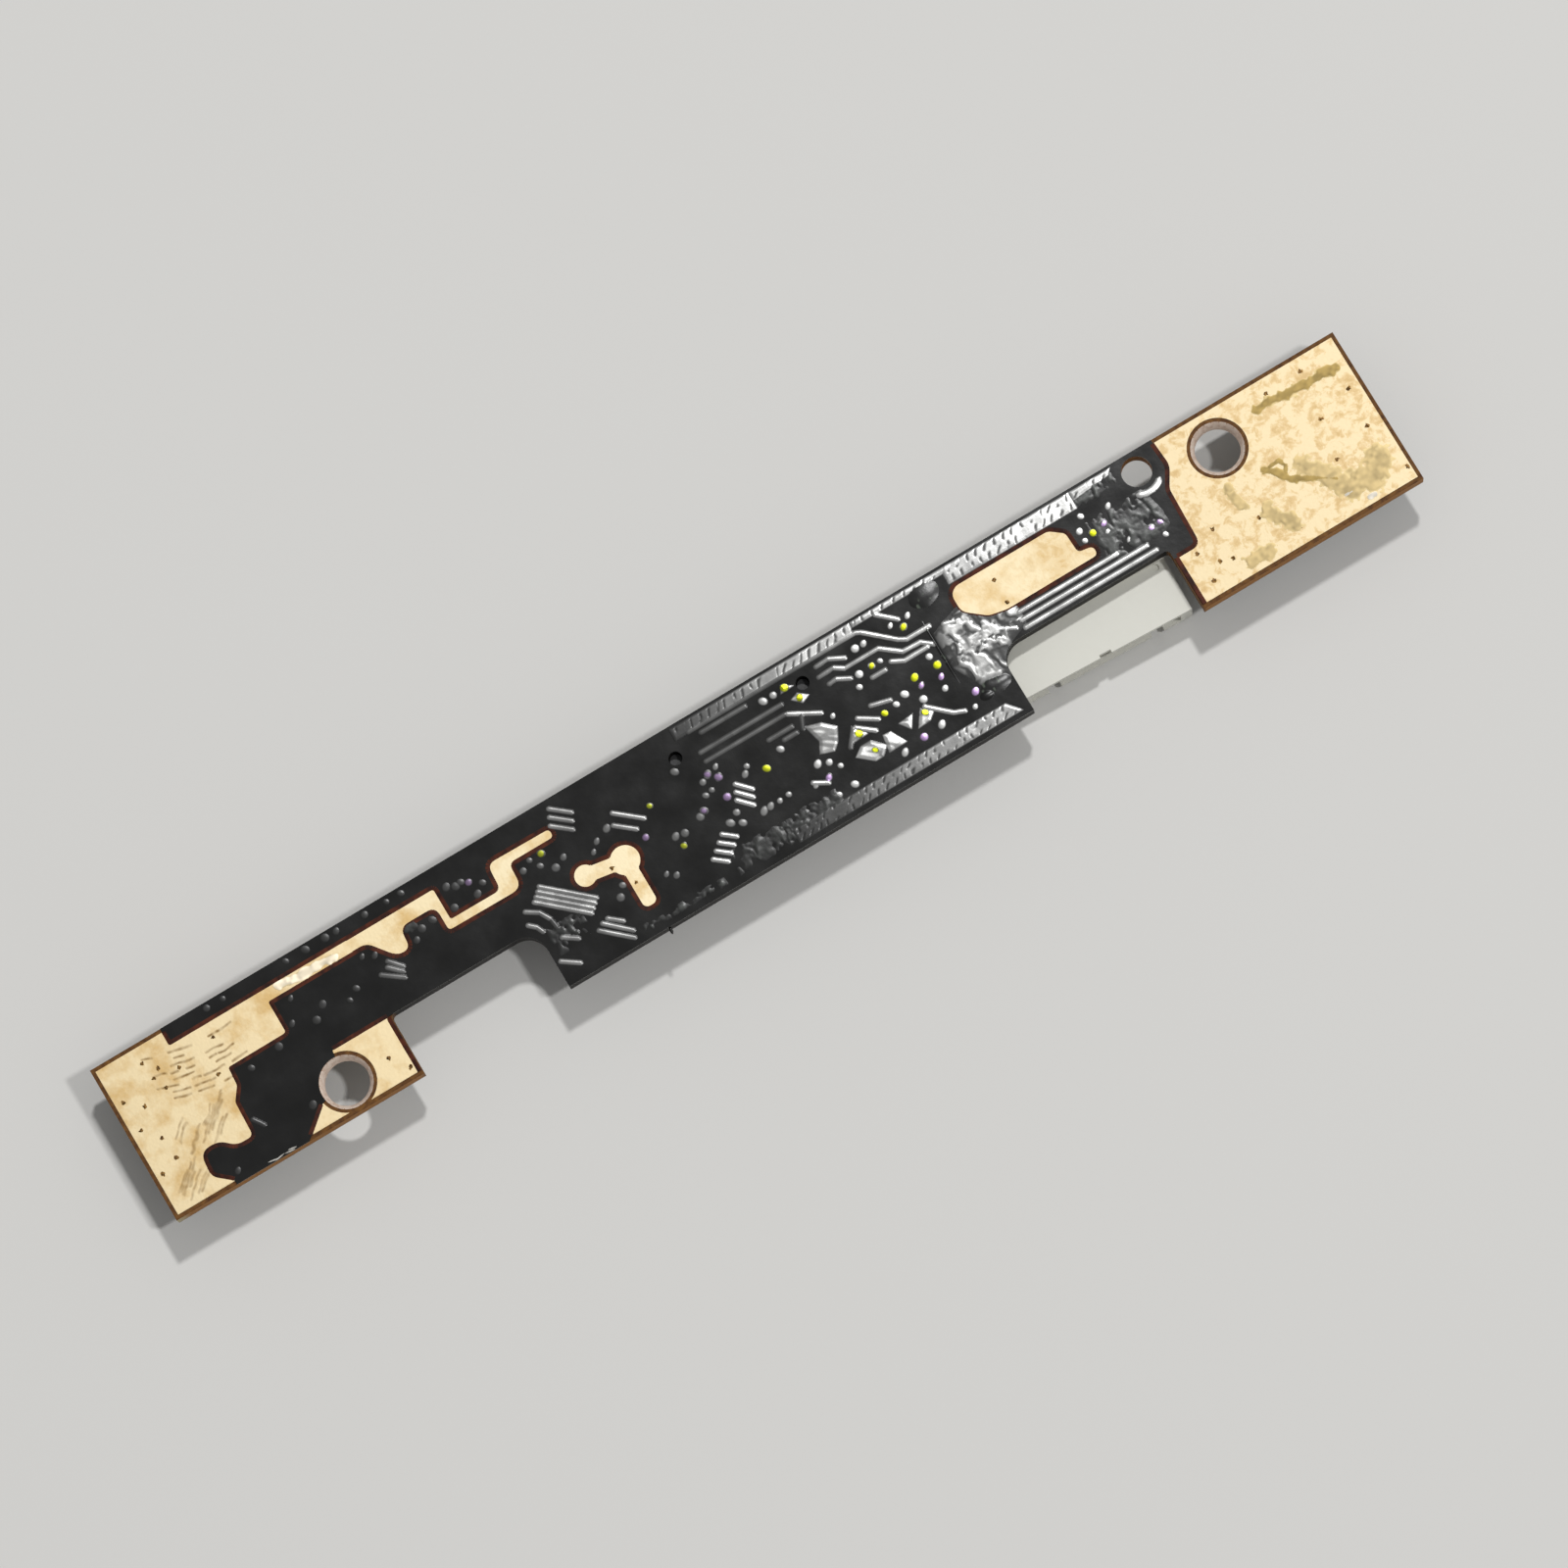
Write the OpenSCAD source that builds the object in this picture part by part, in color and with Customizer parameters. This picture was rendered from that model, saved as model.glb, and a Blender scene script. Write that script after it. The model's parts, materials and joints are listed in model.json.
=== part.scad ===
// Webcam module from a laptop lid: a long two-notched board that carries a lens module,
// its chips and a wire-to-board connector on the front, and bare gold lands on the back.
// It lies lens down. Z = 0 is the front rim of the lens barrel, X runs along the board,
// Y points from the notched edge to the straight edge, and the origin is under the board's middle.

/* [Board] */
// Length of the board
board_l = 62; // [58:0.5:68]
// Width of the board over its tabs
board_w = 7.5; // [7.2:0.1:9]
// Thickness of the laminate
board_t = 0.8; // [0.6:0.1:1.2]
// Length of the left tab
left_tab_l = 12.25; // [11.5:0.25:14]
// Length of the right tab
right_tab_l = 10.95; // [10.5:0.05:12.5]
// Length of the body between the notches
body_l = 23.1; // [22.6:0.1:26]
// Width of the left neck, from the straight edge
left_neck_w = 4.6; // [4.2:0.1:5.5]
// Width of the right neck, from the straight edge
right_neck_w = 4.5; // [4.2:0.1:5.5]
// Radius in the inner corners of the notches, next to the body
notch_r = 1; // [0.3:0.05:1.2]
// Radius in the inner corners of the notches, next to the tabs
tab_notch_r = 0.2; // [0.1:0.05:1]

/* [Holes] */
// Diameter of the two mounting holes, clear of an M1.8 screw
mount_hole_d = 2; // [1.8:0.05:2.2]
// Widening of the mounting holes at the back of the board
hole_lead_w = 0.18; // [0.1:0.02:0.25]
// Distance of the left mounting hole from the left end
left_hole_in = 9.2; // [8.5:0.1:10]
// Laminate left between the left mounting hole and the notched edge
left_hole_web = 0.4; // [0.3:0.05:0.8]
// Distance of the right mounting hole from the right end
right_hole_in = 6.85; // [6:0.05:8]
// Laminate left between the right mounting hole and the straight edge
right_hole_web = 0.8; // [0.5:0.05:1.6]
// Diameter of the tooling hole
tool_hole_d = 1.35; // [1:0.05:1.4]
// Distance of the tooling hole from the right end
tool_hole_in = 10.35; // [10:0.05:10.6]
// Laminate left between the tooling hole and the straight edge
tool_hole_web = 0.2; // [0.15:0.05:0.5]

/* [Copper and mask] */
// Thickness of the gold-plated copper
copper_t = 0.045; // [0.03:0.005:0.05]
// Thickness of the solder mask over the laminate
mask_t = 0.06; // [0.055:0.005:0.1]
// Height of the tracks and tented vias that show through the mask
track_h = 0.03; // [0.02:0.005:0.05]
// Width of a track
track_w = 0.22; // [0.15:0.01:0.3]
// Diameter of a tented via
via_d = 0.4; // [0.3:0.02:0.5]
// Bare laminate between a gold land and the edge of the board
land_margin = 0.18; // [0.1:0.02:0.35]

/* [Lens module] */
// Place of the lens axis along the board, from the middle
lens_x = 0.5; // [-0.5:0.1:1.2]
// Length of the lens holder's foot along the board
holder_l = 7.4; // [7:0.1:8]
// Width of the lens holder's foot
holder_w = 6.8; // [6.6:0.1:7.4]
// Wall of the lens holder's chamber
holder_wall = 0.9; // [0.8:0.05:1]
// Diameter of the locating pegs
peg_d = 0.55; // [0.4:0.05:0.7]
// Diameter of the threaded barrel
barrel_d = 5; // [4.6:0.1:5.4]
// Length of the barrel
barrel_l = 1.2; // [1.1:0.05:1.6]
// Height by which the barrel stands out of its holder
barrel_out = 0.5; // [0.2:0.05:0.8]
// Length of the image sensor
sensor_l = 4.6; // [4:0.1:5]
// Width of the image sensor
sensor_w = 4; // [3.6:0.1:4.6]
// Thickness of the image sensor
sensor_t = 0.3; // [0.2:0.05:0.5]
// Thickness of the glass on the sensor
sensor_glass_t = 0.3; // [0.2:0.05:0.5]
// Side of the square infrared filter
filter_w = 4.3; // [4:0.1:4.6]
// Thickness of the infrared filter
filter_t = 0.21; // [0.15:0.01:0.3]

/* [Chips] */
// Side of the controller
controller_w = 5; // [4.5:0.1:5.2]
// Height of the controller
controller_t = 0.75; // [0.6:0.05:0.9]
// Pitch of the controller's leads
controller_pitch = 0.4; // [0.35:0.05:0.6]
// Length of the memory chip's body along the board
memory_l = 3; // [2.8:0.1:3.4]
// Width of the memory chip's body
memory_w = 4.4; // [4:0.1:4.8]
// Height of the memory chip's body
memory_t = 0.85; // [0.7:0.05:1]
// Length of the regulator's body
regulator_l = 2.9; // [2.6:0.1:3.2]
// Width of the regulator's body
regulator_w = 1.6; // [1.4:0.1:1.8]
// Height of the regulator's body
regulator_t = 1; // [0.8:0.05:1.2]
// Length of the crystal, across the board
crystal_l = 3.2; // [2.8:0.1:3.6]
// Width of the crystal
crystal_w = 2.5; // [2.2:0.1:2.8]
// Height of the crystal
crystal_t = 0.7; // [0.6:0.05:0.9]

/* [Small parts] */
// Length of a chip capacitor or resistor
passive_l = 1; // [0.9:0.05:1.1]
// Width of a chip capacitor or resistor
passive_w = 0.5; // [0.4:0.05:0.6]
// Height of a chip capacitor
capacitor_t = 0.5; // [0.4:0.05:0.6]
// Height of a chip resistor
resistor_t = 0.35; // [0.3:0.05:0.45]
// Length of the choke
choke_l = 2; // [1.8:0.1:2.4]
// Width of the choke
choke_w = 1.2; // [1:0.05:1.3]
// Height of the choke
choke_t = 1.1; // [0.9:0.05:1.3]
// Length of the indicator lamp
lamp_l = 1.6; // [1.4:0.1:2]
// Width of the indicator lamp
lamp_w = 0.8; // [0.7:0.05:1]
// Height of the indicator lamp
lamp_t = 0.6; // [0.5:0.05:0.8]
// Length of the microphone
microphone_l = 3.76; // [3.4:0.02:4]
// Width of the microphone
microphone_w = 2.95; // [2.6:0.05:3.2]
// Height of the microphone
microphone_t = 1.1; // [0.9:0.05:1.3]

/* [Connector] */
// Width of the connector along the board
connector_w = 8.4; // [8:0.1:9]
// Depth of the connector from its mouth to its rear face
connector_l = 4; // [3.6:0.1:4.4]
// Height of the connector's shell
connector_h = 1.7; // [1.5:0.05:1.9]
// Depth by which the connector sits under the right neck
connector_seat = 1.65; // [1.4:0.05:2]
// Gap between the board and the shell where it overhangs
connector_lift = 0.42; // [0.3:0.02:0.6]
// Pitch of the connector's contacts
contact_pitch = 1; // [0.8:0.05:1.1]
// Angle by which the connector sits askew
connector_turn = -2.4; // [-3:0.1:3]

/* [Hidden] */
$fn = 64;

// Overrun of a cut past the face that it opens
overrun = 0.4;
// Running clearance between pieces that are slid or screwed together
fit = 0.03;

// Stack of the lens module, as heights above the front face of the laminate
ball_h = 0.05;
filter_gap = 0.1;
plate_t = 0.12;
barrel_gap = 0.06;
sensor_z = mask_t + ball_h;
sensor_glass_z = sensor_z + sensor_t;
filter_z = sensor_glass_z + sensor_glass_t + filter_gap;
plate_z = filter_z + filter_t;
base_h = plate_z + plate_t;
barrel_z = base_h + barrel_gap;
lens_h = barrel_z + barrel_l;
holder_h = lens_h - barrel_out;

// Heights of the laminate's two faces
front_z = lens_h;
back_z = front_z + board_t;

// Edges of the board's sections
left_tab_end = left_tab_l - board_l / 2;
right_tab_start = board_l / 2 - right_tab_l;
left_neck_low = board_w / 2 - left_neck_w;
right_neck_low = board_w / 2 - right_neck_w;
LEFT_TAB = 0;
LEFT_NECK = 1;
BODY = 2;
RIGHT_NECK = 3;
RIGHT_TAB = 4;
section_ends = [-board_l / 2, left_tab_end, -body_l / 2, body_l / 2, right_tab_start, board_l / 2];
section_lows = [-board_w / 2, left_neck_low, -board_w / 2, right_neck_low, -board_w / 2];

// Centres of the holes
left_hole = [left_hole_in - board_l / 2, left_hole_web + mount_hole_d / 2 - board_w / 2];
right_hole = [board_l / 2 - right_hole_in, board_w / 2 - right_hole_web - mount_hole_d / 2];
tool_hole = [board_l / 2 - tool_hole_in, board_w / 2 - tool_hole_web - tool_hole_d / 2];
peg_wall_share = 0.59;
peg_side_share = 0.353;
peg_x = holder_l / 2 - peg_wall_share * holder_wall;
peg_y = peg_side_share * holder_w;
peg_recess = 0.5;
peg_hole_d = peg_d + 2 * fit;

// Depth of a mounting hole's widening, pull-back of the copper round a hole, and reach of a front pad
hole_lead_h = 0.25;
copper_ring = 0.155;
pad_ring = 0.75;

// Rounding of the lands' outlines, and the steps of one rounded corner
land_corner_r = 0.3;
corner_steps = 5;

// Gold lands on the back: section, share along it, share across it, share of the corner radius
left_land_shares = [
    [LEFT_TAB, -0.05, 1.05, 0], [LEFT_TAB, 0.285, 1.05, 0], [LEFT_TAB, 0.285, 0.893, 0.2],
    [LEFT_NECK, 0.605, 0.825, 0.6], [LEFT_NECK, 0.605, 0.497, 0.1], [LEFT_NECK, 0.935, 0.495, 0.8],
    [LEFT_NECK, 0.945, 0.765, 1.4], [BODY, 0.118, 0.85, 0.8], [BODY, 0.118, 0.785, 0.8],
    [BODY, 0.022, 0.785, 0.8], [BODY, 0.02, 0.625, 1.8], [LEFT_NECK, 0.55, 0.395, 0.8],
    [LEFT_NECK, 0.55, 0.655, 1.2], [LEFT_NECK, 0.32, 0.655, 1.2], [LEFT_NECK, 0.31, 0.44, 1.2],
    [LEFT_NECK, 0.215, 0.435, 1.5], [LEFT_NECK, 0.09, 0.69, 1], [LEFT_TAB, 0.66, 0.81, 0.2],
    [LEFT_TAB, 0.66, 0.605, 0.6], [LEFT_TAB, 0.425, 0.602, 0.2], [LEFT_TAB, 0.42, 0.49, 0.3],
    [LEFT_TAB, 0.385, 0.41, 0.3], [LEFT_TAB, 0.38, 0.19, 0.9], [LEFT_TAB, 0.31, 0.19, 1.2],
    [LEFT_TAB, 0.265, 0.265, 1.2], [LEFT_TAB, 0.19, 0.265, 1.8], [LEFT_TAB, 0.185, 0.115, 0.8],
    [LEFT_TAB, 0.245, 0.03, 0.5], [LEFT_TAB, 0.245, -0.05, 0], [LEFT_TAB, -0.05, -0.05, 0],
];
corner_land_shares = [
    [LEFT_TAB, 0.765, 0.385, 0.3], [LEFT_TAB, 1.05, 0.385, 0], [LEFT_TAB, 1.05, -0.05, 0],
    [LEFT_TAB, 0.5, -0.05, 0], [LEFT_TAB, 0.645, 0.15, 0.3], [LEFT_TAB, 0.751, 0.187, 0],
];
neck_land_shares = [
    [RIGHT_NECK, -0.06, 0.5, 1], [RIGHT_NECK, -0.06, 0.7, 1], [RIGHT_NECK, -0.015, 0.76, 0.6],
    [RIGHT_NECK, 0.53, 0.76, 0.6], [RIGHT_NECK, 0.605, 0.65, 0.6], [RIGHT_NECK, 0.61, 0.435, 0.4],
    [RIGHT_NECK, 0.69, 0.41, 0.8], [RIGHT_NECK, 0.69, 0.295, 1], [RIGHT_NECK, 0.15, 0.29, 0.5],
    [RIGHT_NECK, 0.05, 0.33, 0.6],
];
right_land_shares = [
    [RIGHT_TAB, 0.165, 1.05, 0], [RIGHT_TAB, 1.05, 1.05, 0], [RIGHT_TAB, 1.05, -0.05, 0],
    [RIGHT_TAB, -0.05, -0.05, 0], [RIGHT_TAB, -0.05, 0.335, 0], [RIGHT_TAB, 0.115, 0.335, 1.2],
    [RIGHT_TAB, 0.125, 0.7, 0.6], [RIGHT_TAB, 0.175, 0.82, 0.8], [RIGHT_TAB, 0.17, 0.93, 0.5],
];
outline_lands = [left_land_shares, corner_land_shares, neck_land_shares, right_land_shares];

// The T-shaped land: a large and a small round pad, joined by a bar, with a bar down to its foot
t_pad_d = 1.4;
t_small_pad_d = 1.06;
t_bar_w = 0.74;
t_pad_shares = [0.208, 0.463];
t_small_pad_shares = [0.13, 0.503];
t_foot_shares = [0.208, 0.157];

// Tracks that show under the mask: section, then the shares of each path's points
function bundle(path, step, count) = [for (i = [0:count - 1]) [for (p = path) p + i * step]];
body_track_shares = concat(
    bundle([[0.135, 0.945], [0.168, 0.86]], [-0.007, -0.045], 3),
    bundle([[0.046, 0.585], [0.127, 0.36]], [-0.0075, -0.021], 4),
    bundle([[0.455, 0.515], [0.478, 0.44]], [-0.0065, -0.042], 3),
    bundle([[0.386, 0.305], [0.408, 0.25]], [-0.0125, -0.033], 4),
    [
        [[0.232, 0.735], [0.278, 0.615]], [[0.222, 0.67], [0.256, 0.583]],
        [[0.035, 0.265], [0.06, 0.212]], [[0.01, 0.15], [0.04, 0.085]],
        [[0.125, 0.225], [0.148, 0.165]], [[0.112, 0.215], [0.155, 0.09]], [[0.1, 0.19], [0.15, 0.05]],
        [[0, 0.5], [0.022, 0.455], [0.034, 0.39], [0.037, 0.33]], [[-0.008, 0.425], [0.004, 0.39], [0.01, 0.35]],
        [[0.43, 0.775], [0.605, 0.775]], [[0.43, 0.715], [0.6, 0.715]], [[0.45, 0.875], [0.545, 0.875]],
        [[0.55, 0.635], [0.6, 0.635]], [[0.575, 0.59], [0.602, 0.59]],
        [[0.605, 0.71], [0.66, 0.615]], [[0.627, 0.67], [0.615, 0.59]],
        [[0.695, 0.44], [0.673, 0.355]], [[0.7, 0.44], [0.73, 0.365]], [[0.712, 0.48], [0.745, 0.415]],
        [[0.695, 0.86], [0.722, 0.865], [0.75, 0.82]], [[0.7, 0.735], [0.716, 0.74], [0.74, 0.7]],
        [[0.69, 0.8], [0.722, 0.805], [0.74, 0.768], [0.812, 0.768], [0.848, 0.68], [0.885, 0.675], [0.906, 0.622]],
        [[0.8, 0.9], [0.852, 0.755], [0.866, 0.73], [0.915, 0.73]], [[0.84, 0.945], [0.872, 0.855]],
        [[0.82, 0.665], [0.842, 0.63], [0.892, 0.63]], [[0.94, 0.695], [0.957, 0.68], [0.985, 0.62]],
        [[0.775, 0.64], [0.803, 0.64]], [[0.745, 0.505], [0.782, 0.475]],
        [[0.83, 0.34], [0.87, 0.225], [0.89, 0.2]],
    ]
);
left_neck_track_shares = [
    [[0.075, 0.37], [0.19, 0.235]], [[0.13, 0.4], [0.2, 0.29]], [[0.15, 0.45], [0.215, 0.335]],
];
right_neck_track_shares = [
    [[0.19, 0.22], [0.77, 0.22]], [[0.18, 0.14], [0.92, 0.14]], [[0.18, 0.058], [0.95, 0.058]],
    [[0.01, 0.22], [0.07, 0.17], [0.14, 0.1]],
];
left_tab_track_shares = [[[0.405, 0.275], [0.43, 0.215]]];
track_tables = [
    [LEFT_TAB, left_tab_track_shares], [LEFT_NECK, left_neck_track_shares],
    [BODY, body_track_shares], [RIGHT_NECK, right_neck_track_shares],
];

// Poured areas under the mask: section, then the shares of each outline's corners
pour_tables = [
    [BODY, [
        [[0.675, 0.305], [0.712, 0.335], [0.733, 0.26], [0.712, 0.215], [0.7, 0.215]],
        [[0.738, 0.31], [0.75, 0.32], [0.768, 0.215], [0.722, 0.21]],
        [[0.632, 0.575], [0.65, 0.56], [0.672, 0.5], [0.66, 0.42], [0.645, 0.38], [0.62, 0.41], [0.632, 0.47]],
        [[0.825, 0.35], [0.8, 0.245], [0.83, 0.265], [0.842, 0.29]],
        [[0.775, 0.335], [0.805, 0.345], [0.79, 0.285]],
        [[0.612, 0.825], [0.62, 0.88], [0.645, 0.83]],
        [[0.622, 0.77], [0.64, 0.79], [0.66, 0.74], [0.64, 0.715]],
        [[0.43, 0.905], [0.43, 0.975], [0.79, 0.975], [0.79, 0.905]],
        [[0.58, 0.03], [0.58, 0.115], [0.96, 0.115], [0.985, 0.03]],
    ]],
    [RIGHT_NECK, [[[0, 0.8], [0, 0.965], [0.69, 0.965], [0.69, 0.8]]]],
];

// Tented vias: section, then the shares of each centre
via_tables = [
    [LEFT_TAB, [
        [0.46, 0.965], [0.525, 0.965], [0.78, 0.965], [0.86, 0.965], [0.94, 0.965], [0.985, 0.965],
        [0.73, 0.765], [0.69, 0.635], [0.815, 0.64], [0.77, 0.58], [0.945, 0.62], [0.905, 0.58],
        [0.49, 0.535], [0.61, 0.56], [0.61, 0.17], [0.27, 0.065],
    ]],
    [LEFT_NECK, [
        [0.17, 0.94], [0.32, 0.94], [0.42, 0.94], [0.5, 0.57], [0.42, 0.55], [0.36, 0.48], [0.03, 0.61],
        [0.1, 0.56], [0.67, 0.77], [0.72, 0.73], [0.76, 0.74], [0.8, 0.7], [0.87, 0.63], [0.65, 0.56], [0.81, 0.56],
    ]],
    [BODY, [
        [0.035, 0.71], [0.055, 0.745], [0.067, 0.685], [0.08, 0.745], [0.09, 0.63], [0.112, 0.66],
        [0.165, 0.595], [0.18, 0.64], [0.208, 0.675], [0.165, 0.29], [0.18, 0.345], [0.262, 0.515],
        [0.298, 0.66], [0.328, 0.42], [0.31, 0.43], [0.315, 0.36], [0.26, 0.27], [0.275, 0.235],
        [0.368, 0.455], [0.38, 0.475], [0.397, 0.545], [0.412, 0.555], [0.405, 0.62], [0.42, 0.645],
        [0.435, 0.6], [0.44, 0.66], [0.43, 0.475], [0.43, 0.37], [0.41, 0.335], [0.43, 0.3],
        [0.49, 0.57], [0.52, 0.5], [0.48, 0.535], [0.475, 0.295], [0.49, 0.3], [0.51, 0.3], [0.53, 0.305],
        [0.56, 0.555], [0.578, 0.845], [0.6, 0.845], [0.675, 0.565], [0.582, 0.27], [0.61, 0.27],
        [0.605, 0.37], [0.625, 0.345], [0.64, 0.295], [0.61, 0.155], [0.645, 0.16],
        [0.775, 0.835], [0.793, 0.835], [0.853, 0.845], [0.89, 0.845], [0.873, 0.8], [0.757, 0.695],
        [0.785, 0.7], [0.803, 0.7], [0.745, 0.63], [0.842, 0.515], [0.89, 0.51], [0.845, 0.455],
        [0.885, 0.44], [0.88, 0.37], [0.835, 0.38], [0.81, 0.46], [0.787, 0.435], [0.76, 0.425],
        [0.8, 0.19], [0.84, 0.2], [0.755, 0.17], [0.925, 0.265], [0.91, 0.19], [0.885, 0.575], [0.938, 0.575],
        [0.37, 0.755],
    ]],
    [RIGHT_NECK, [
        [0.665, 0.59], [0.665, 0.485], [0.71, 0.71], [0.72, 0.51], [0.79, 0.54], [0.79, 0.45],
        [0.79, 0.37], [0.855, 0.66], [0.865, 0.27], [0.985, 0.26], [1.04, 0.27], [1.03, 0.14],
    ]],
];

// Lens holder and barrel
holder_corner_r = 0.5;
tower_wall = 0.65;
tower_d = barrel_d + 2 * tower_wall;
window_d_share = 0.8;
window_d = window_d_share * filter_w;
glue_notch_w = 0.8;
glue_notch_h = 0.25;
grip_notch_d = 0.5;
grip_notches = 8;
cone_h = 0.35;
barrel_wall = 0.62;
lens_r = barrel_d / 2 - barrel_wall;
mouth_share = 0.8;
throat_share = 0.5;
mouth_r = mouth_share * lens_r;
throat_r = throat_share * lens_r;
front_lens_t = 0.14;
front_lens_sag = 0.25;
stop_t = 0.05;
stop_share = 0.28;
rear_lens_t = 0.2;
rear_lens_sag = 0.16;
rear_lens_share = 0.7;
retainer_t = 0.26;
retainer_share = 0.76;
front_lens_z = lens_h - cone_h - front_lens_t;
stop_z = front_lens_z - stop_t;
rear_lens_z = stop_z - rear_lens_t;
retainer_z = rear_lens_z - retainer_t;
ball_d = 0.3;
ball_pitch = 0.8;

// Controller: leads set flush in its lower edges
controller_lead_w = 0.2;
controller_lead_l = 0.35;
controller_lead_t = 0.2;
controller_corner = 0.55;
pad_toe = 0.18;
controller_count = floor((controller_w - 2 * controller_corner) / controller_pitch) + 1;

// Gull-wing leads of the memory chip and the regulator
lead_t = 0.13;
lead_reach = 0.95;
lead_foot_share = 0.5;
memory_lead_w = 0.25;
memory_pitch_share = 0.22;
regulator_lead_w = 0.4;
regulator_pitch_share = 0.33;
body_draft_share = 0.12;

// Lanes between the chips, and the small parts' ends
holder_lane = 1.18;
connector_lane = 1.1;
crystal_lane = 0.45;
chip_lane = 0.6;
passive_lane = 0.4;
neck_lane = 0.6;
choke_in = 1.1;
end_share = 0.25;
end_wrap = 0.02;
crystal_lid_share = 0.9;
crystal_base_share = 0.5;
lamp_base_share = 0.4;
lamp_lens_share = 0.72;
microphone_base_t = 0.25;
microphone_can_margin = 0.08;
microphone_can_wall = 0.1;
sound_port_d = 0.6;

// Places of the chips
holder_right = lens_x + holder_l / 2;
holder_left = lens_x - holder_l / 2;
controller_x = holder_right + holder_lane + controller_w / 2;
crystal_x = holder_left - crystal_lane - crystal_w / 2;
memory_x = crystal_x - crystal_w / 2 - chip_lane - memory_l / 2;
regulator_at = [(left_tab_end - body_l / 2) / 2, (board_w / 2 + left_neck_low) / 2];
microphone_shares = [0.4, 0.55];
lamp_shares = [0.87, 0.72];
connector_x = controller_x + controller_w / 2 + connector_lane + connector_w / 2;
neck_row_share = 0.83;
neck_row_y = right_neck_low + neck_row_share * right_neck_w;
choke_at = [connector_x - connector_w / 2 + choke_in + choke_l / 2, neck_row_y];
neck_row_x = choke_at[0] + choke_l / 2 + neck_lane + passive_l / 2;

// Places of the capacitors and resistors: centre and turn
controller_row_y = controller_w / 2 + passive_lane + passive_w / 2;
holder_column_x = holder_right + holder_lane / 2;
memory_column_x = memory_x - memory_l / 2 - passive_lane - passive_l / 2;
regulator_side_x = regulator_l / 2 + passive_lane + passive_w / 2;
controller_row_shares = [-0.38, -0.1, 0.18];
holder_column_shares = [-0.3, -0.02, 0.26];
memory_column_shares = [-0.1, 0.05, 0.34];
capacitor_places = concat(
    [for (s = controller_row_shares) [controller_x + s * controller_w, controller_row_y, 0]],
    [for (s = holder_column_shares) [holder_column_x, s * board_w, 90]],
    [for (side = [-1, 1]) [regulator_at[0] + side * regulator_side_x, regulator_at[1], 90]]
);
resistor_places = concat(
    [for (s = controller_row_shares) [controller_x + s * controller_w, -controller_row_y, 0]],
    [for (s = memory_column_shares) [memory_column_x, s * board_w, 0]],
    [for (i = [0, 1]) [neck_row_x + i * (passive_l + neck_lane), neck_row_y, 0]]
);

// Connector
connector_wall = 0.35;
connector_rear_wall = 0.7;
connector_side_wall = 0.55;
connector_rear_y = right_neck_low + connector_seat;
seat_inset = 0.15;
keyway_w = 0.6;
keyway_share = 0.3;
latch_notch_w = 0.55;
latch_notch_l = 0.14;
dimple_d = 0.3;
dimple_depth = 0.12;
dimple_shares = [0.44, 0.42];
contact_w = 0.3;
contact_t = 0.15;
contact_gap = 0.05;
contact_tail = 0.8;
contact_pin_share = 0.45;
contact_count = floor((connector_w - 2 * connector_side_wall - contact_w) / contact_pitch) - 1;
nail_t = 0.15;
nail_w = 0.9;
nail_foot = 0.5;
nail_rise_share = 0.6;
nail_in = 0.35;

// Point at a share along and across one section of the board
function spot(section, share) = [
    section_ends[section] + share[0] * (section_ends[section + 1] - section_ends[section]),
    section_lows[section] + share[1] * (board_w / 2 - section_lows[section])
];

// Points that round the corner at "at", as a quadratic curve that leaves both edges at the reach
function corner(before, at, after, reach) =
    let (
        back = before - at,
        on = after - at,
        first = at + back * min(reach / norm(back), 1 / 2),
        last = at + on * min(reach / norm(on), 1 / 2)
    )
    reach == 0 ? [at] : [
        for (i = [0:corner_steps])
            let (t = i / corner_steps)
            (1 - t) * (1 - t) * first + 2 * t * (1 - t) * at + t * t * last
    ];

// Outline of a land from its table of shares
function land_points(rows) =
    let (
        count = len(rows),
        points = [for (row = rows) spot(row[0], [row[1], row[2]])]
    )
    [
        for (i = [0:count - 1])
            each corner(points[(i + count - 1) % count], points[i], points[(i + 1) % count],
                        rows[i][3] * land_corner_r)
    ];

// Unit normal to the left of the way from one point to the next
function left_normal(from, to) = [from[1] - to[1], to[0] - from[0]] / norm(to - from);

// Mitred outline of a strip of width w along a path
function strip(path, w) =
    let (
        last = len(path) - 1,
        sides = [
            for (i = [0:last])
                let (
                    a = left_normal(path[max(i - 1, 0)], path[max(i, 1)]),
                    b = left_normal(path[min(i, last - 1)], path[min(i + 1, last)])
                )
                (a + b) / (1 + a * b) * w / 2
        ]
    )
    concat([for (i = [0:last]) path[i] + sides[i]], [for (i = [last:-1:0]) path[i] - sides[i]]);

// Rectangle about the origin with round corners
module soft_rectangle(l, w, r) {
    square([l - 2 * r, w], center = true);
    square([l, w - 2 * r], center = true);
    for (x = [-1, 1], y = [-1, 1]) translate([x * (l / 2 - r), y * (w / 2 - r)]) circle(r);
}

// Fillet in the inner corner of a notch that opens down and to one side
module notch_fillet(at, side, r) {
    translate(at) scale([side, -1]) difference() {
        square(r);
        translate([r, r]) circle(r);
    }
}

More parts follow.
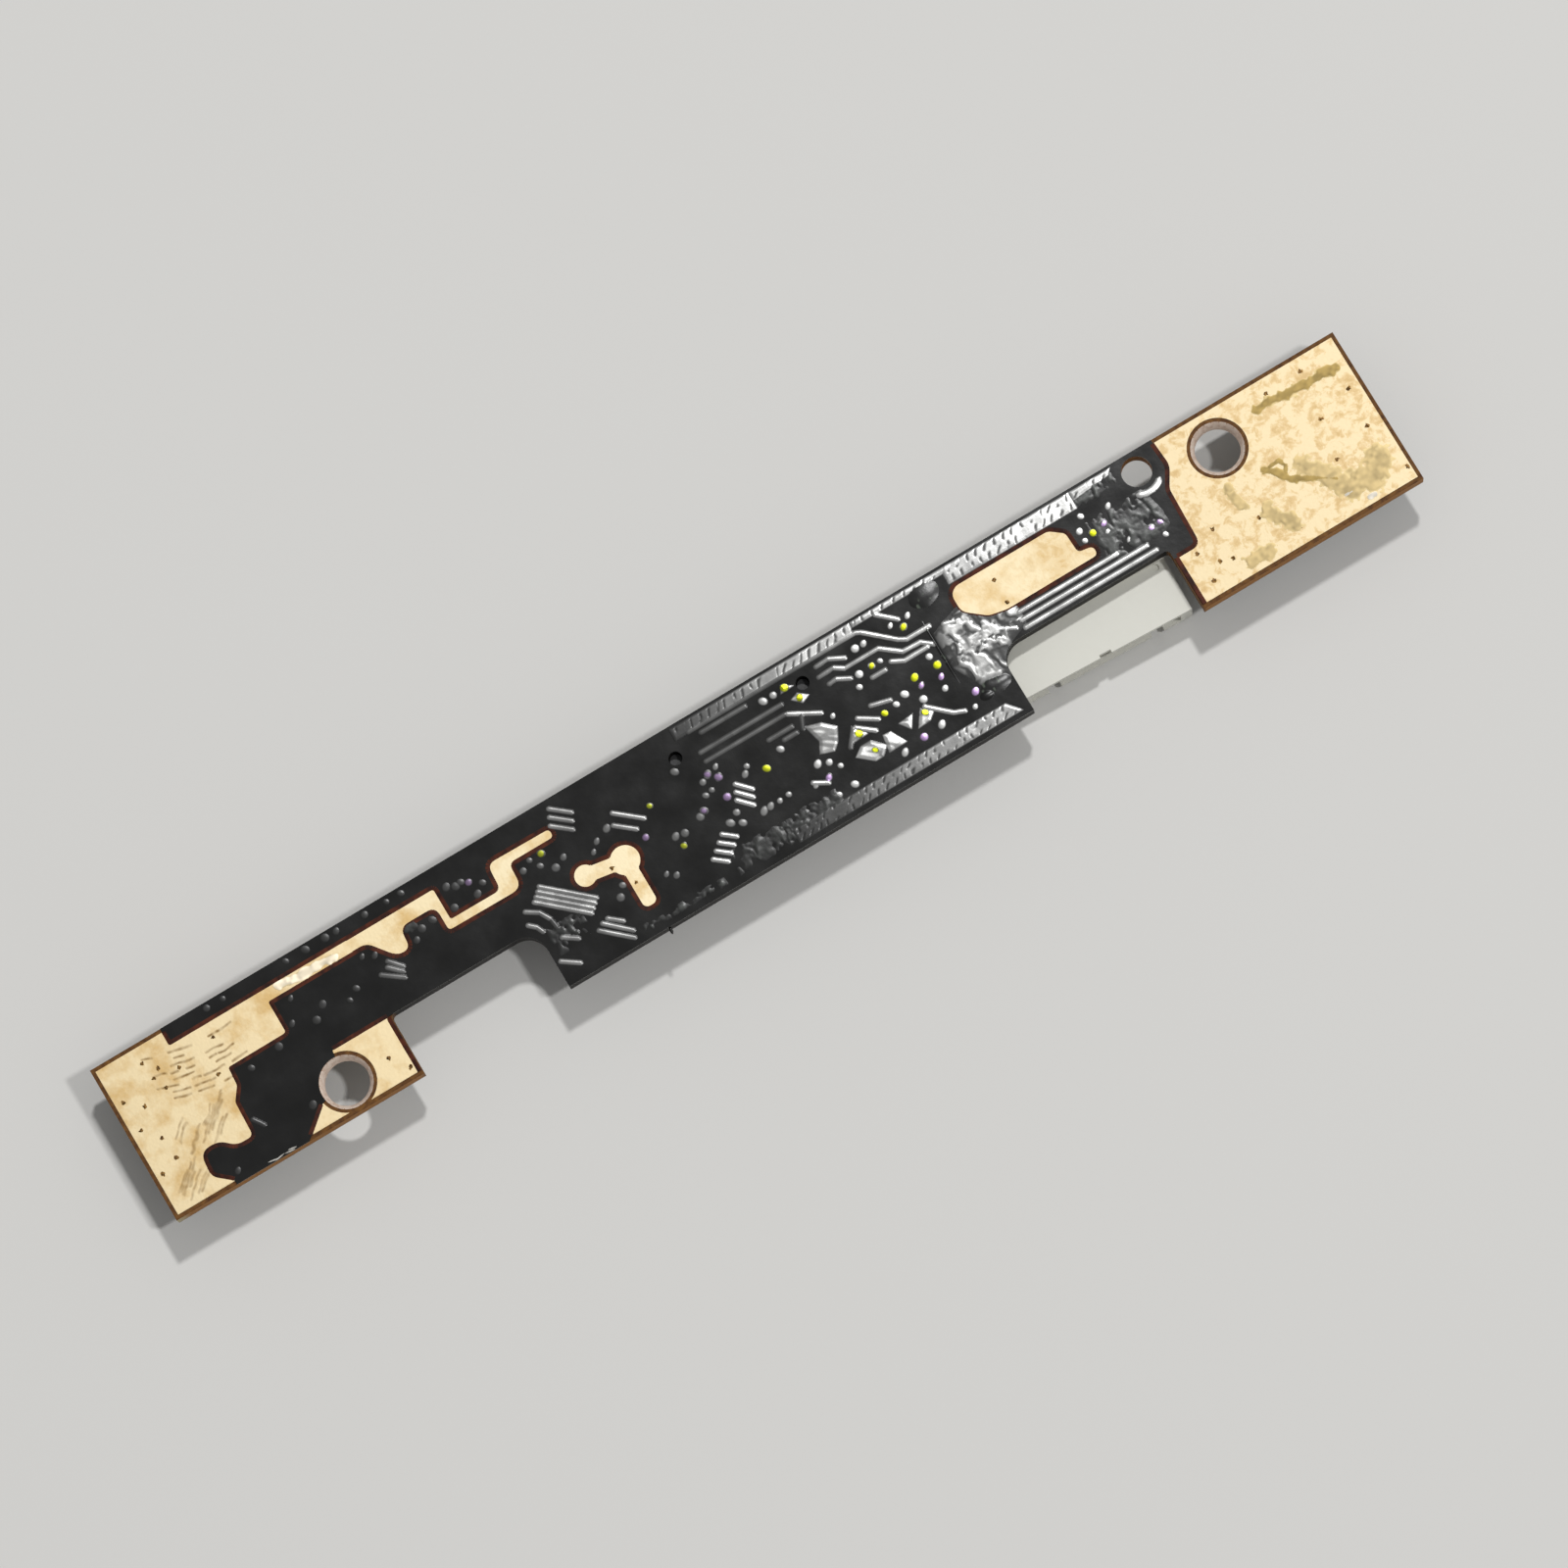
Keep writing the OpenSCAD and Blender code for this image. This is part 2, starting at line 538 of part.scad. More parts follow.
// Outline of the board, drawn in from its edge all round
module board_outline(inset = 0) {
    x_end = board_l / 2 - inset;
    y_end = board_w / 2 - inset;
    body_r = notch_r + inset;
    tab_r = tab_notch_r + inset;
    left_low = left_neck_low + inset;
    right_low = right_neck_low + inset;
    translate([-x_end, left_low]) square([x_end, y_end - left_low]);
    translate([0, right_low]) square([x_end, y_end - right_low]);
    translate([-x_end, -y_end]) square([left_tab_l - 2 * inset, 2 * y_end]);
    translate([inset - body_l / 2, -y_end]) square([body_l - 2 * inset, 2 * y_end]);
    translate([right_tab_start + inset, -y_end]) square([right_tab_l - 2 * inset, 2 * y_end]);
    notch_fillet([left_tab_end - inset, left_low], 1, tab_r);
    notch_fillet([inset - body_l / 2, left_low], -1, body_r);
    notch_fillet([body_l / 2 - inset, right_low], 1, body_r);
    notch_fillet([right_tab_start + inset, right_low], -1, tab_r);
}

// All holes of the board, with the mounting holes and the tooling hole widened by a ring
module holes(mount_ring = 0, tool_ring = 0) {
    for (at = [left_hole, right_hole]) translate(at) circle(d = mount_hole_d + 2 * mount_ring);
    translate(tool_hole) circle(d = tool_hole_d + 2 * tool_ring);
    for (side = [-1, 1]) translate([lens_x + side * peg_x, peg_y]) circle(d = peg_hole_d);
}

// Openings in the mask over the back's gold lands
module land_shapes() {
    pad = spot(BODY, t_pad_shares);
    small_pad = spot(BODY, t_small_pad_shares);
    foot = spot(BODY, t_foot_shares);
    for (rows = outline_lands) polygon(land_points(rows));
    translate(pad) circle(d = t_pad_d);
    translate(small_pad) circle(d = t_small_pad_d);
    polygon(strip([small_pad, pad], t_bar_w));
    translate((pad + foot) / 2) soft_rectangle(t_bar_w, norm(pad - foot), land_corner_r);
}

// Lower side of the board: heights there are measured from the laminate's front face down to the lens
module on_front(at = [0, 0], turn = 0) {
    translate([at[0], at[1], front_z]) mirror([0, 0, 1]) rotate(turn) children();
}

// Box that stands on z, centred along and across
module block(l, w, z, h) {
    translate([-l / 2, -w / 2, z]) cube([l, w, h]);
}

// Two equal boxes at the ends of a small part, and the pads that they stand on
module end_blocks(l, w, h) {
    for (side = [-1, 1])
        translate([side * (1 - end_share) * l / 2, 0, 0]) block(end_share * l, w + 2 * end_wrap, copper_t, h);
}
module end_pads(l, w) {
    for (side = [-1, 1])
        translate([side * ((1 - end_share) * l + pad_toe) / 2, 0])
            square([end_share * l + pad_toe, w + 2 * end_wrap], center = true);
}

// Moulded chip body that draws in from a straight band, in line with its leads, to both faces
module moulded_body(l, w, h) {
    draft = body_draft_share * h;
    band_z = mask_t + (h - lead_t) / 2;
    hull() {
        block(l - 2 * draft, w - 2 * draft, mask_t, draft);
        block(l, w, band_z, lead_t);
        block(l - 2 * draft, w - 2 * draft, mask_t + h - draft, draft);
    }
}

// Gull-wing lead that leaves a body's side at y = 0 and stands on the copper
module gull_lead(h, w) {
    out_z = mask_t + h / 2;
    foot_z = copper_t + lead_t / 2;
    knee = (1 - lead_foot_share) * lead_reach;
    rotate([90, 0, 90]) linear_extrude(w, center = true)
        polygon(strip([[0, out_z], [knee / 2, out_z], [knee, foot_z], [lead_reach, foot_z]], lead_t));
}

// Places of the leads along one side, and a loop over both sides of a chip
function spread(count, pitch) = [for (i = [0:count - 1]) (i - (count - 1) / 2) * pitch];
memory_lead_xs = spread(4, memory_pitch_share * memory_l);
regulator_lead_xs = [spread(2, 2 * regulator_pitch_share * regulator_l), spread(3, regulator_pitch_share * regulator_l)];
controller_lead_xs = spread(controller_count, controller_pitch);
contact_xs = spread(contact_count, contact_pitch);
ball_xs = spread(floor(sensor_l / ball_pitch), ball_pitch);
ball_ys = spread(floor(sensor_w / ball_pitch), ball_pitch);

module gull_pads(xs, body_w, w, side) {
    foot = lead_foot_share * lead_reach;
    for (x = xs)
        translate([x, side * (body_w / 2 + lead_reach - foot / 2)]) square([w, foot + pad_toe], center = true);
}

module on_connector() {
    on_front([connector_x, connector_rear_y], connector_turn) children();
}

// Pads of every part on the front, where the mask is open
module front_pad_shapes() {
    for (side = [0:3], x = controller_lead_xs)
        translate([controller_x, 0]) rotate(90 * side)
            translate([x, (controller_w - controller_lead_l + pad_toe) / 2])
                square([controller_lead_w, controller_lead_l + pad_toe], center = true);
    for (side = [-1, 1]) {
        translate([memory_x, 0]) gull_pads(memory_lead_xs, memory_w, memory_lead_w, side);
        translate(regulator_at)
            gull_pads(regulator_lead_xs[(side + 1) / 2], regulator_w, regulator_lead_w, side);
    }
    for (place = concat(capacitor_places, resistor_places))
        translate([place[0], place[1]]) rotate(place[2]) end_pads(passive_l, passive_w);
    translate([crystal_x, 0]) rotate(90) end_pads(crystal_l, crystal_w);
    translate(choke_at) end_pads(choke_l, choke_w);
    translate(spot(LEFT_TAB, lamp_shares)) end_pads(lamp_l, lamp_w);
    translate(spot(LEFT_TAB, microphone_shares)) end_pads(microphone_l - 2 * pad_toe, microphone_w - 2 * pad_toe);
    translate([lens_x, 0]) for (x = ball_xs, y = ball_ys) translate([x, y]) circle(d = ball_d);
    translate([connector_x, connector_rear_y]) rotate(connector_turn) {
        for (x = contact_xs)
            translate([x - contact_w, 0]) square([2 * contact_w, contact_tail + contact_t + pad_toe]);
        for (side = [-1, 1])
            translate([side * (connector_w + nail_foot) / 2, -nail_in - nail_w / 2])
                square([nail_foot + 2 * nail_t + pad_toe, nail_w + pad_toe], center = true);
    }
    for (at = [left_hole, right_hole]) intersection() {
        translate(at) circle(d = mount_hole_d + 2 * pad_ring);
        board_outline(land_margin);
    }
}

module board() {
    lead_slope = hole_lead_w / hole_lead_h;
    lead_reach_w = lead_slope * (hole_lead_h + overrun);
    color("#b8a263") translate([0, 0, front_z]) difference() {
        linear_extrude(board_t) difference() {
            board_outline();
            holes();
        }
        for (at = [left_hole, right_hole])
            translate([at[0], at[1], board_t - hole_lead_h])
                cylinder(d1 = mount_hole_d, d2 = mount_hole_d + 2 * lead_reach_w, h = hole_lead_h + overrun);
    }
}

module back_copper() {
    color("#eccf93") translate([0, 0, back_z]) linear_extrude(copper_t) difference() {
        intersection() {
            land_shapes();
            board_outline(land_margin);
        }
        holes(hole_lead_w + copper_ring, copper_ring);
    }
}

module back_mask() {
    color("#202425") translate([0, 0, back_z]) linear_extrude(mask_t) difference() {
        board_outline();
        land_shapes();
        holes(hole_lead_w);
    }
}

module back_tracks() {
    color("#33393a") translate([0, 0, back_z + mask_t]) linear_extrude(track_h) {
        for (table = track_tables, path = table[1])
            polygon(strip([for (share = path) spot(table[0], share)], track_w));
        for (table = pour_tables, outline = table[1])
            polygon([for (share = outline) spot(table[0], share)]);
        for (table = via_tables, share = table[1])
            translate(spot(table[0], share)) circle(d = via_d);
    }
}

module front_mask() {
    color("#202425") on_front() linear_extrude(mask_t) difference() {
        board_outline();
        front_pad_shapes();
        holes();
    }
}

module front_pads() {
    color("#eccf93") on_front() linear_extrude(copper_t) difference() {
        front_pad_shapes();
        holes(hole_lead_w + copper_ring, copper_ring);
    }
}

module lens_holder() {
    chamber_l = holder_l - 2 * holder_wall;
    chamber_w = holder_w - 2 * holder_wall;
    pocket_w = filter_w + 2 * fit;
    color("#1c1c1e") on_front([lens_x, 0]) {
        difference() {
            union() {
                translate([0, 0, mask_t]) linear_extrude(base_h - mask_t)
                    soft_rectangle(holder_l, holder_w, holder_corner_r);
                translate([0, 0, base_h]) cylinder(d = tower_d, h = holder_h - base_h);
            }
            block(chamber_l, chamber_w, mask_t - overrun, filter_z - mask_t + overrun);
            block(pocket_w, pocket_w, filter_z - overrun, filter_t + overrun);
            translate([0, 0, filter_z]) cylinder(d = window_d, h = base_h - filter_z + overrun);
            translate([0, 0, base_h]) cylinder(d = barrel_d + 2 * fit, h = holder_h - base_h + overrun);
            for (turn = [45, 225]) rotate(turn)
                translate([0, -glue_notch_w / 2, holder_h - glue_notch_h])
                    cube([tower_d, glue_notch_w, glue_notch_h + overrun]);
        }
        for (side = [-1, 1])
            translate([side * peg_x, peg_y, peg_recess - board_t])
                cylinder(d = peg_d, h = board_t - peg_recess + mask_t);
    }
}

module lens_barrel() {
    color("#141416") on_front([lens_x, 0]) difference() {
        rotate_extrude() polygon([
            [lens_r, barrel_z], [barrel_d / 2, barrel_z], [barrel_d / 2, lens_h], [mouth_r, lens_h],
            [throat_r, lens_h - cone_h], [lens_r, lens_h - cone_h],
        ]);
        for (i = [0:grip_notches - 1]) rotate(i * 360 / grip_notches)
            translate([barrel_d / 2, 0, holder_h + fit]) cylinder(d = grip_notch_d, h = barrel_out + overrun, $fn = 24);
    }
}

// Cap of a ball: r across its foot and sag high, on z = 0
module ball_cap(r, sag) {
    ball_r = (r * r + sag * sag) / (2 * sag);
    intersection() {
        translate([0, 0, sag - ball_r]) sphere(ball_r);
        cylinder(r = r, h = sag);
    }
}

module front_lens() {
    color("#5d6f8c") on_front([lens_x, 0]) translate([0, 0, front_lens_z]) {
        cylinder(r = lens_r - fit, h = front_lens_t);
        translate([0, 0, front_lens_t]) ball_cap(throat_r - fit, front_lens_sag);
    }
}

module aperture_stop() {
    color("#0e0e10") on_front([lens_x, 0]) translate([0, 0, stop_z]) difference() {
        cylinder(r = lens_r - fit, h = stop_t);
        translate([0, 0, -overrun]) cylinder(r = stop_share * lens_r, h = stop_t + 2 * overrun);
    }
}

module rear_lens() {
    color("#8fa2b8") on_front([lens_x, 0]) translate([0, 0, rear_lens_z]) {
        cylinder(r = lens_r - fit, h = rear_lens_t);
        mirror([0, 0, 1]) ball_cap(rear_lens_share * lens_r, rear_lens_sag);
    }
}

module lens_retainer() {
    color("#1c1c1e") on_front([lens_x, 0]) translate([0, 0, retainer_z]) difference() {
        cylinder(r = lens_r - fit, h = retainer_t);
        translate([0, 0, -overrun]) cylinder(r = retainer_share * lens_r, h = retainer_t + 2 * overrun);
    }
}

module infrared_filter() {
    color("#b9c9d4") on_front([lens_x, 0]) block(filter_w, filter_w, filter_z, filter_t);
}

module sensor_glass() {
    color("#c4d6d8") on_front([lens_x, 0]) block(sensor_l, sensor_w, sensor_glass_z, sensor_glass_t);
}

module image_sensor() {
    color("#4a4452") on_front([lens_x, 0]) block(sensor_l, sensor_w, sensor_z, sensor_t);
}

module sensor_balls() {
    color("#c9ccce") on_front([lens_x, 0])
        for (x = ball_xs, y = ball_ys)
            translate([x, y, copper_t]) cylinder(d = ball_d, h = sensor_z - copper_t);
}

module controller_body() {
    color("#232427") on_front([controller_x, 0]) difference() {
        block(controller_w, controller_w, mask_t, controller_t);
        for (side = [0:3], x = controller_lead_xs)
            rotate(90 * side) translate([x, (controller_w - controller_lead_l + overrun) / 2, 0])
                block(controller_lead_w, controller_lead_l + overrun, copper_t, controller_lead_t);
    }
}

module controller_leads() {
    color("#c3c6c8") on_front([controller_x, 0])
        for (side = [0:3], x = controller_lead_xs)
            rotate(90 * side) translate([x, (controller_w - controller_lead_l) / 2, 0])
                block(controller_lead_w, controller_lead_l, copper_t, controller_lead_t);
}

module memory_body() {
    color("#26272a") on_front([memory_x, 0]) moulded_body(memory_l, memory_w, memory_t);
}

module memory_leads() {
    color("#c3c6c8") on_front([memory_x, 0])
        for (side = [0, 1], x = memory_lead_xs)
            rotate(180 * side) translate([x, memory_w / 2, 0]) gull_lead(memory_t, memory_lead_w);
}

module regulator_body() {
    color("#26272a") on_front(regulator_at) moulded_body(regulator_l, regulator_w, regulator_t);
}

module regulator_leads() {
    color("#c3c6c8") on_front(regulator_at)
        for (side = [0, 1], x = regulator_lead_xs[1 - side])
            rotate(180 * side) translate([x, regulator_w / 2, 0]) gull_lead(regulator_t, regulator_lead_w);
}

module crystal_base() {
    color("#6e5f55") on_front([crystal_x, 0], 90) {
        block(crystal_l, crystal_w, mask_t, crystal_base_share * crystal_t);
        for (side = [-1, 1])
            translate([side * (1 - end_share) * crystal_l / 2, 0, 0])
                block(end_share * crystal_l, crystal_w, copper_t, mask_t - copper_t);
    }
}

module crystal_lid() {
    color("#d2cfc6") on_front([crystal_x, 0], 90)
        translate([0, 0, mask_t + crystal_base_share * crystal_t])
            linear_extrude((1 - crystal_base_share) * crystal_t)
                soft_rectangle(crystal_lid_share * crystal_l, crystal_lid_share * crystal_w, land_corner_r);
}

// Small parts that repeat: a body between two metal ends
module passive_bodies(places, h) {
    for (place = places)
        on_front(place, place[2]) block((1 - 2 * end_share) * passive_l, passive_w, mask_t, h);
}
module passive_ends(places, h) {
    for (place = places)
        on_front(place, place[2]) end_blocks(passive_l, passive_w, h + mask_t - copper_t + end_wrap);
}

module capacitor_bodies() {
    color("#b08f6a") passive_bodies(capacitor_places, capacitor_t);
}

module capacitor_ends() {
    color("#d5d7d8") passive_ends(capacitor_places, capacitor_t);
}

module resistor_bodies() {
    color("#2b2b2e") passive_bodies(resistor_places, resistor_t);
}

module resistor_ends() {
    color("#d5d7d8") passive_ends(resistor_places, resistor_t);
}

module choke_body() {
    color("#3a3634") on_front(choke_at)
        block((1 - 2 * end_share) * choke_l, choke_w, mask_t, choke_t);
}

module choke_ends() {
    color("#d5d7d8") on_front(choke_at)
        end_blocks(choke_l, choke_w, choke_t + mask_t - copper_t + end_wrap);
}

module lamp_base() {
    color("#e9e6dc") on_front(spot(LEFT_TAB, lamp_shares)) {
        block(lamp_l, lamp_w, mask_t, lamp_base_share * lamp_t);
        for (side = [-1, 1])
            translate([side * (1 - end_share) * lamp_l / 2, 0, 0])
                block(end_share * lamp_l, lamp_w, copper_t, mask_t - copper_t);
    }
}

module lamp_lens() {
    color("#f2efe0") on_front(spot(LEFT_TAB, lamp_shares))
        block(lamp_lens_share * lamp_l, lamp_w, mask_t + lamp_base_share * lamp_t, (1 - lamp_base_share) * lamp_t);
}

module microphone_base() {
    color("#2d3b2f") on_front(spot(LEFT_TAB, microphone_shares)) {
        block(microphone_l, microphone_w, mask_t, microphone_base_t);
        for (side = [-1, 1])
            translate([side * (1 - end_share) * (microphone_l - 2 * pad_toe) / 2, 0, 0])
                block(end_share * (microphone_l - 2 * pad_toe), microphone_w - 2 * pad_toe,
                      copper_t, mask_t - copper_t);
    }
}

module microphone_can() {
    can_l = microphone_l - 2 * microphone_can_margin;
    can_w = microphone_w - 2 * microphone_can_margin;
    can_z = mask_t + microphone_base_t;
    can_h = microphone_t - microphone_base_t;
    color("#c9b98d") on_front(spot(LEFT_TAB, microphone_shares)) difference() {
        translate([0, 0, can_z]) linear_extrude(can_h) soft_rectangle(can_l, can_w, land_corner_r);
        block(can_l - 2 * microphone_can_wall, can_w - 2 * microphone_can_wall,
              can_z - overrun, can_h - microphone_can_wall + overrun);
        translate([can_l / 4, 0, can_z]) cylinder(d = sound_port_d, h = can_h + overrun);
    }
}

module connector_housing() {
    shell_top = connector_lift + connector_h;
    mouth_w = connector_w - 2 * connector_side_wall;
    mouth_l = connector_l - connector_rear_wall;
    slot_w = contact_w + 2 * contact_gap;
    pin_z = connector_lift + contact_pin_share * connector_h;
    dimple = [dimple_shares[0] * connector_w, -dimple_shares[1] * connector_l];
    color("#dcdad2") on_connector() difference() {
        union() {
            translate([0, -connector_l / 2, 0]) block(connector_w, connector_l, connector_lift, connector_h);
            translate([0, -(connector_seat - seat_inset) / 2, 0])
                block(connector_w, connector_seat - seat_inset, mask_t, connector_lift - mask_t);
        }
        translate([0, (mouth_l - overrun) / 2 - connector_l, 0])
            block(mouth_w, mouth_l + overrun, connector_lift + connector_wall, connector_h - 2 * connector_wall);
        for (side = [-1, 1])
            translate([side * keyway_share * connector_w, (mouth_l - overrun) / 2 - connector_l, 0])
                block(keyway_w, mouth_l + overrun, shell_top - connector_wall - overrun, connector_wall + 2 * overrun);
        translate([0, (latch_notch_l - overrun) / 2 - connector_l, 0])
            block(latch_notch_w, latch_notch_l + overrun, connector_lift - overrun, connector_wall + 2 * overrun);
        for (x = contact_xs)
            translate([x, 0, 0])
                block(slot_w, 2 * (connector_rear_wall + overrun), pin_z - slot_w / 2, slot_w);
        translate([dimple[0], dimple[1], connector_lift - overrun]) cylinder(d = dimple_d, h = dimple_depth + overrun);
    }
}

module connector_contacts() {
    pin_z = connector_lift + contact_pin_share * connector_h;
    foot_z = copper_t + contact_t / 2;
    back_y = contact_gap + contact_t / 2;
    pin_end = -(connector_l + connector_rear_wall) / 2;
    route = [[pin_end, pin_z], [back_y, pin_z], [back_y, foot_z], [back_y + contact_tail, foot_z]];
    color("#cfae62") on_connector()
        for (x = contact_xs) translate([x, 0, 0])
            rotate([90, 0, 90]) linear_extrude(contact_w, center = true) polygon(strip(route, contact_t));
}

module connector_nails() {
    rise = connector_lift + nail_rise_share * connector_h;
    side_x = (connector_w + nail_t) / 2;
    route = [[side_x, rise], [side_x, copper_t + nail_t / 2], [side_x + nail_foot, copper_t + nail_t / 2]];
    color("#c3c6c8") on_connector()
        for (side = [0, 1]) mirror([side, 0, 0])
            translate([0, -nail_in, 0]) rotate([90, 0, 0]) linear_extrude(nail_w) polygon(strip(route, nail_t));
}

board();
back_copper();
back_mask();
back_tracks();
front_mask();
front_pads();
lens_holder();
lens_barrel();
front_lens();
aperture_stop();
rear_lens();
lens_retainer();
infrared_filter();
sensor_glass();
image_sensor();
sensor_balls();
controller_body();
controller_leads();
memory_body();
memory_leads();
regulator_body();
regulator_leads();
crystal_base();
crystal_lid();
capacitor_bodies();
capacitor_ends();
resistor_bodies();
resistor_ends();
choke_body();
choke_ends();
lamp_base();
lamp_lens();
microphone_base();
microphone_can();
connector_housing();
connector_contacts();
connector_nails();
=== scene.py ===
# %% [markdown]
# # A laptop webcam module, seen on the back of its board
# The board lies lens down on a sheet of paper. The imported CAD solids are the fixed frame: this
# lesson gives every one of them its finish, and adds the relief that is too soft for solids,
# such as tracks that swell under the lacquer, stained gold and dried glue.

# %% Frame
import json
import math

import bpy
import numpy as np
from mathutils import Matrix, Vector


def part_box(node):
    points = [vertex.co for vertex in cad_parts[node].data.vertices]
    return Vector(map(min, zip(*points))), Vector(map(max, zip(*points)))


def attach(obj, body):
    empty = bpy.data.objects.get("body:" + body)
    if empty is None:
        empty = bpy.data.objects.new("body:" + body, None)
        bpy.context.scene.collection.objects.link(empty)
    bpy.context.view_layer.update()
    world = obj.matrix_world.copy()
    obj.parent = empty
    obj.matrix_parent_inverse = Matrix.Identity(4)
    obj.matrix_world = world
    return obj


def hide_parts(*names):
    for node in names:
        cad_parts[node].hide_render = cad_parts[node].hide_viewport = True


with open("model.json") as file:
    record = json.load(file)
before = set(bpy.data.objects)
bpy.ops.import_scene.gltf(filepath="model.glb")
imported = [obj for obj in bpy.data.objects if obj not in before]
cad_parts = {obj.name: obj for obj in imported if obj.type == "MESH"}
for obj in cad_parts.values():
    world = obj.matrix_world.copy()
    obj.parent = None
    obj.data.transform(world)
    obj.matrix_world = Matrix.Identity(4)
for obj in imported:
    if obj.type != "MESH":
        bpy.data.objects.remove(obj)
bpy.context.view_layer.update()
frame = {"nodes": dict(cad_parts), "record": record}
MM = 0.001
print("nodes", len(frame["nodes"]))

# %% [markdown]
# ## Camera
# The photograph looks almost straight down, with the board turned by 31 degrees. The place and
# the angles come from fitting twelve corners and hole centres of the board to the picture.

# %% Camera
VIEW_DEG = 11.859
CAMERA_PLACE = (-9.57, -55.68, 321.22)
CAMERA_DEG = (9.331, 3.419, -30.633)
camera = bpy.data.objects.new("camera", bpy.data.cameras.new("camera"))
camera.data.angle = math.radians(VIEW_DEG)
camera.data.clip_start = 10 * MM
camera.location = [v * MM for v in CAMERA_PLACE]
camera.rotation_euler = [math.radians(v) for v in CAMERA_DEG]
bpy.context.scene.collection.objects.link(camera)
bpy.context.scene.camera = camera
print("camera height in mm", round(camera.location.z / MM, 1))

# %% [markdown]
# ## Colours and nodes
# Each finish starts from a real material: its colour, its gloss and the size of its grain. Colours
# are written as they look on a screen, and one function turns them into the linear light that a
# renderer adds up. A few more take up the steps that every material repeats.


# %% Colours and nodes
def linear(colour):
    """Linear RGBA of an sRGB hex colour, by the standard's two-part curve."""
    srgb = np.array([int(colour[i : i + 2], 16) for i in (1, 3, 5)]) / 255
    low, high = srgb / 12.92, ((srgb + 0.055) / 1.055) ** 2.4
    return (*np.where(srgb <= 0.04045, low, high).tolist(), 1.0)


def add(tree, kind, sockets=None, stops=(), **settings):
    """Adds one node to the tree: fills or links its sockets, sets its properties and a ramp's stops."""
    made = tree.nodes.new("ShaderNode" + kind)
    for key, value in settings.items():
        setattr(made, key, value)
    for key, value in (sockets or {}).items():
        if isinstance(value, bpy.types.NodeSocket):
            tree.links.new(value, made.inputs[key])
        else:
            made.inputs[key].default_value = value
    for i, (position, colour) in enumerate(stops):
        element = made.color_ramp.elements[i] if i < 2 else made.color_ramp.elements.new(position)
        element.position = position
        element.color = linear(colour)
    return made


def finish(name, colour, **sockets):
    """Starts a material of one colour; the shader's other sockets are set by name."""
    made = bpy.data.materials.new(name)
    made.use_nodes = True
    shader = made.node_tree.nodes["Principled BSDF"]
    shader.inputs["Base Color"].default_value = linear(colour)
    for key, value in sockets.items():
        shader.inputs[key.replace("_", " ")].default_value = value
    return made, made.node_tree, shader


def join(shader, outputs):
    """Links outputs of other nodes to the shader's sockets of these names."""
    for key, output in outputs.items():
        shader.id_data.links.new(output, shader.inputs[key])


def per_mm(size):
    """Texture scale at which one feature measures this many millimetres."""
    return 1 / (size * MM)


def mottled(name, colour, stops, spot_mm, detail, **sockets):
    """Makes a material whose colour wanders between a ramp's stops, in spots of a size in mm."""
    made, tree, shader = finish(name, colour, **sockets)
    place = add(tree, "TexCoord").outputs["Object"]
    spots = add(tree, "TexNoise", {"Vector": place, "Scale": per_mm(spot_mm), "Detail": detail})
    ramp = add(tree, "ValToRGB", {"Fac": spots.outputs["Fac"]}, stops=stops)
    join(shader, {"Base Color": ramp.outputs["Color"]})
    return made


FINISHES = {}
print("mid grey in linear light", round(linear("#808080")[0], 3))

# %% [markdown]
# ## Paper
# The module lies on a sheet of plain paper. It is matt and a little grey, and its fibres leave a faint
# unevenness.

# %% Paper
paper, tree, shader = finish("plain_paper", "#DEDDDA", Roughness=0.9)
place = add(tree, "TexCoord").outputs["Object"]
fibre = add(tree, "TexNoise", {"Vector": place, "Scale": per_mm(0.5), "Detail": 5.0})
bump = add(tree, "Bump", {"Height": fibre.outputs["Fac"], "Strength": 0.15, "Distance": 0.02 * MM})
join(shader, {"Normal": bump.outputs["Normal"]})
REACH = 1.5
sheet_corners = [(-REACH, -REACH, 0), (REACH, -REACH, 0), (REACH, REACH, 0), (-REACH, REACH, 0)]
sheet_mesh = bpy.data.meshes.new("paper")
sheet_mesh.from_pydata(sheet_corners, [], [(0, 1, 2, 3)])
sheet_mesh.materials.append(paper)
sheet = bpy.data.objects.new("paper", sheet_mesh)
bpy.context.scene.collection.objects.link(sheet)
print("sheet width in m", 2 * REACH)

# %% [markdown]
# ## Lamps and room
# One round ceiling lamp throws the clear shadow towards the lower left. A second one stands to the
# right, level with the camera, so that its shadow only shows to the left of an edge, where it
# doubles the first. The pale room fills the rest. Each lamp's power follows from the share of full
# white that it brings to level paper.

# %% Lamps and room
LAMP_DISTANCE = 1.0
SIDE_LAMP = Vector((1.0, 1.15, 3.26)).normalized()
LOW_LAMP = Vector((0.38, -0.25, 1.0)).normalized()
# Name, direction, share of full white, and how many degrees wide the lamp looks from the board.
LAMPS = [("side_lamp", SIDE_LAMP, 0.36, 3.7), ("low_lamp", LOW_LAMP, 0.25, 4.0)]
for name, towards, share, wide_deg in LAMPS:
    light = bpy.data.lights.new(name, "AREA")
    light.shape = "DISK"
    light.size = 2 * LAMP_DISTANCE * math.tan(math.radians(wide_deg / 2))
    light.energy = share / towards.z * (math.pi * LAMP_DISTANCE) ** 2
    lamp = bpy.data.objects.new(name, light)
    lamp.location = towards * LAMP_DISTANCE
    lamp.rotation_euler = towards.to_track_quat("Z", "Y").to_euler()
    bpy.context.scene.collection.objects.link(lamp)
    print(name, "power in watts", round(light.energy, 2))
ROOM_SHARE = 0.27
room = bpy.data.worlds.new("room")
room.use_nodes = True
background = room.node_tree.nodes["Background"]
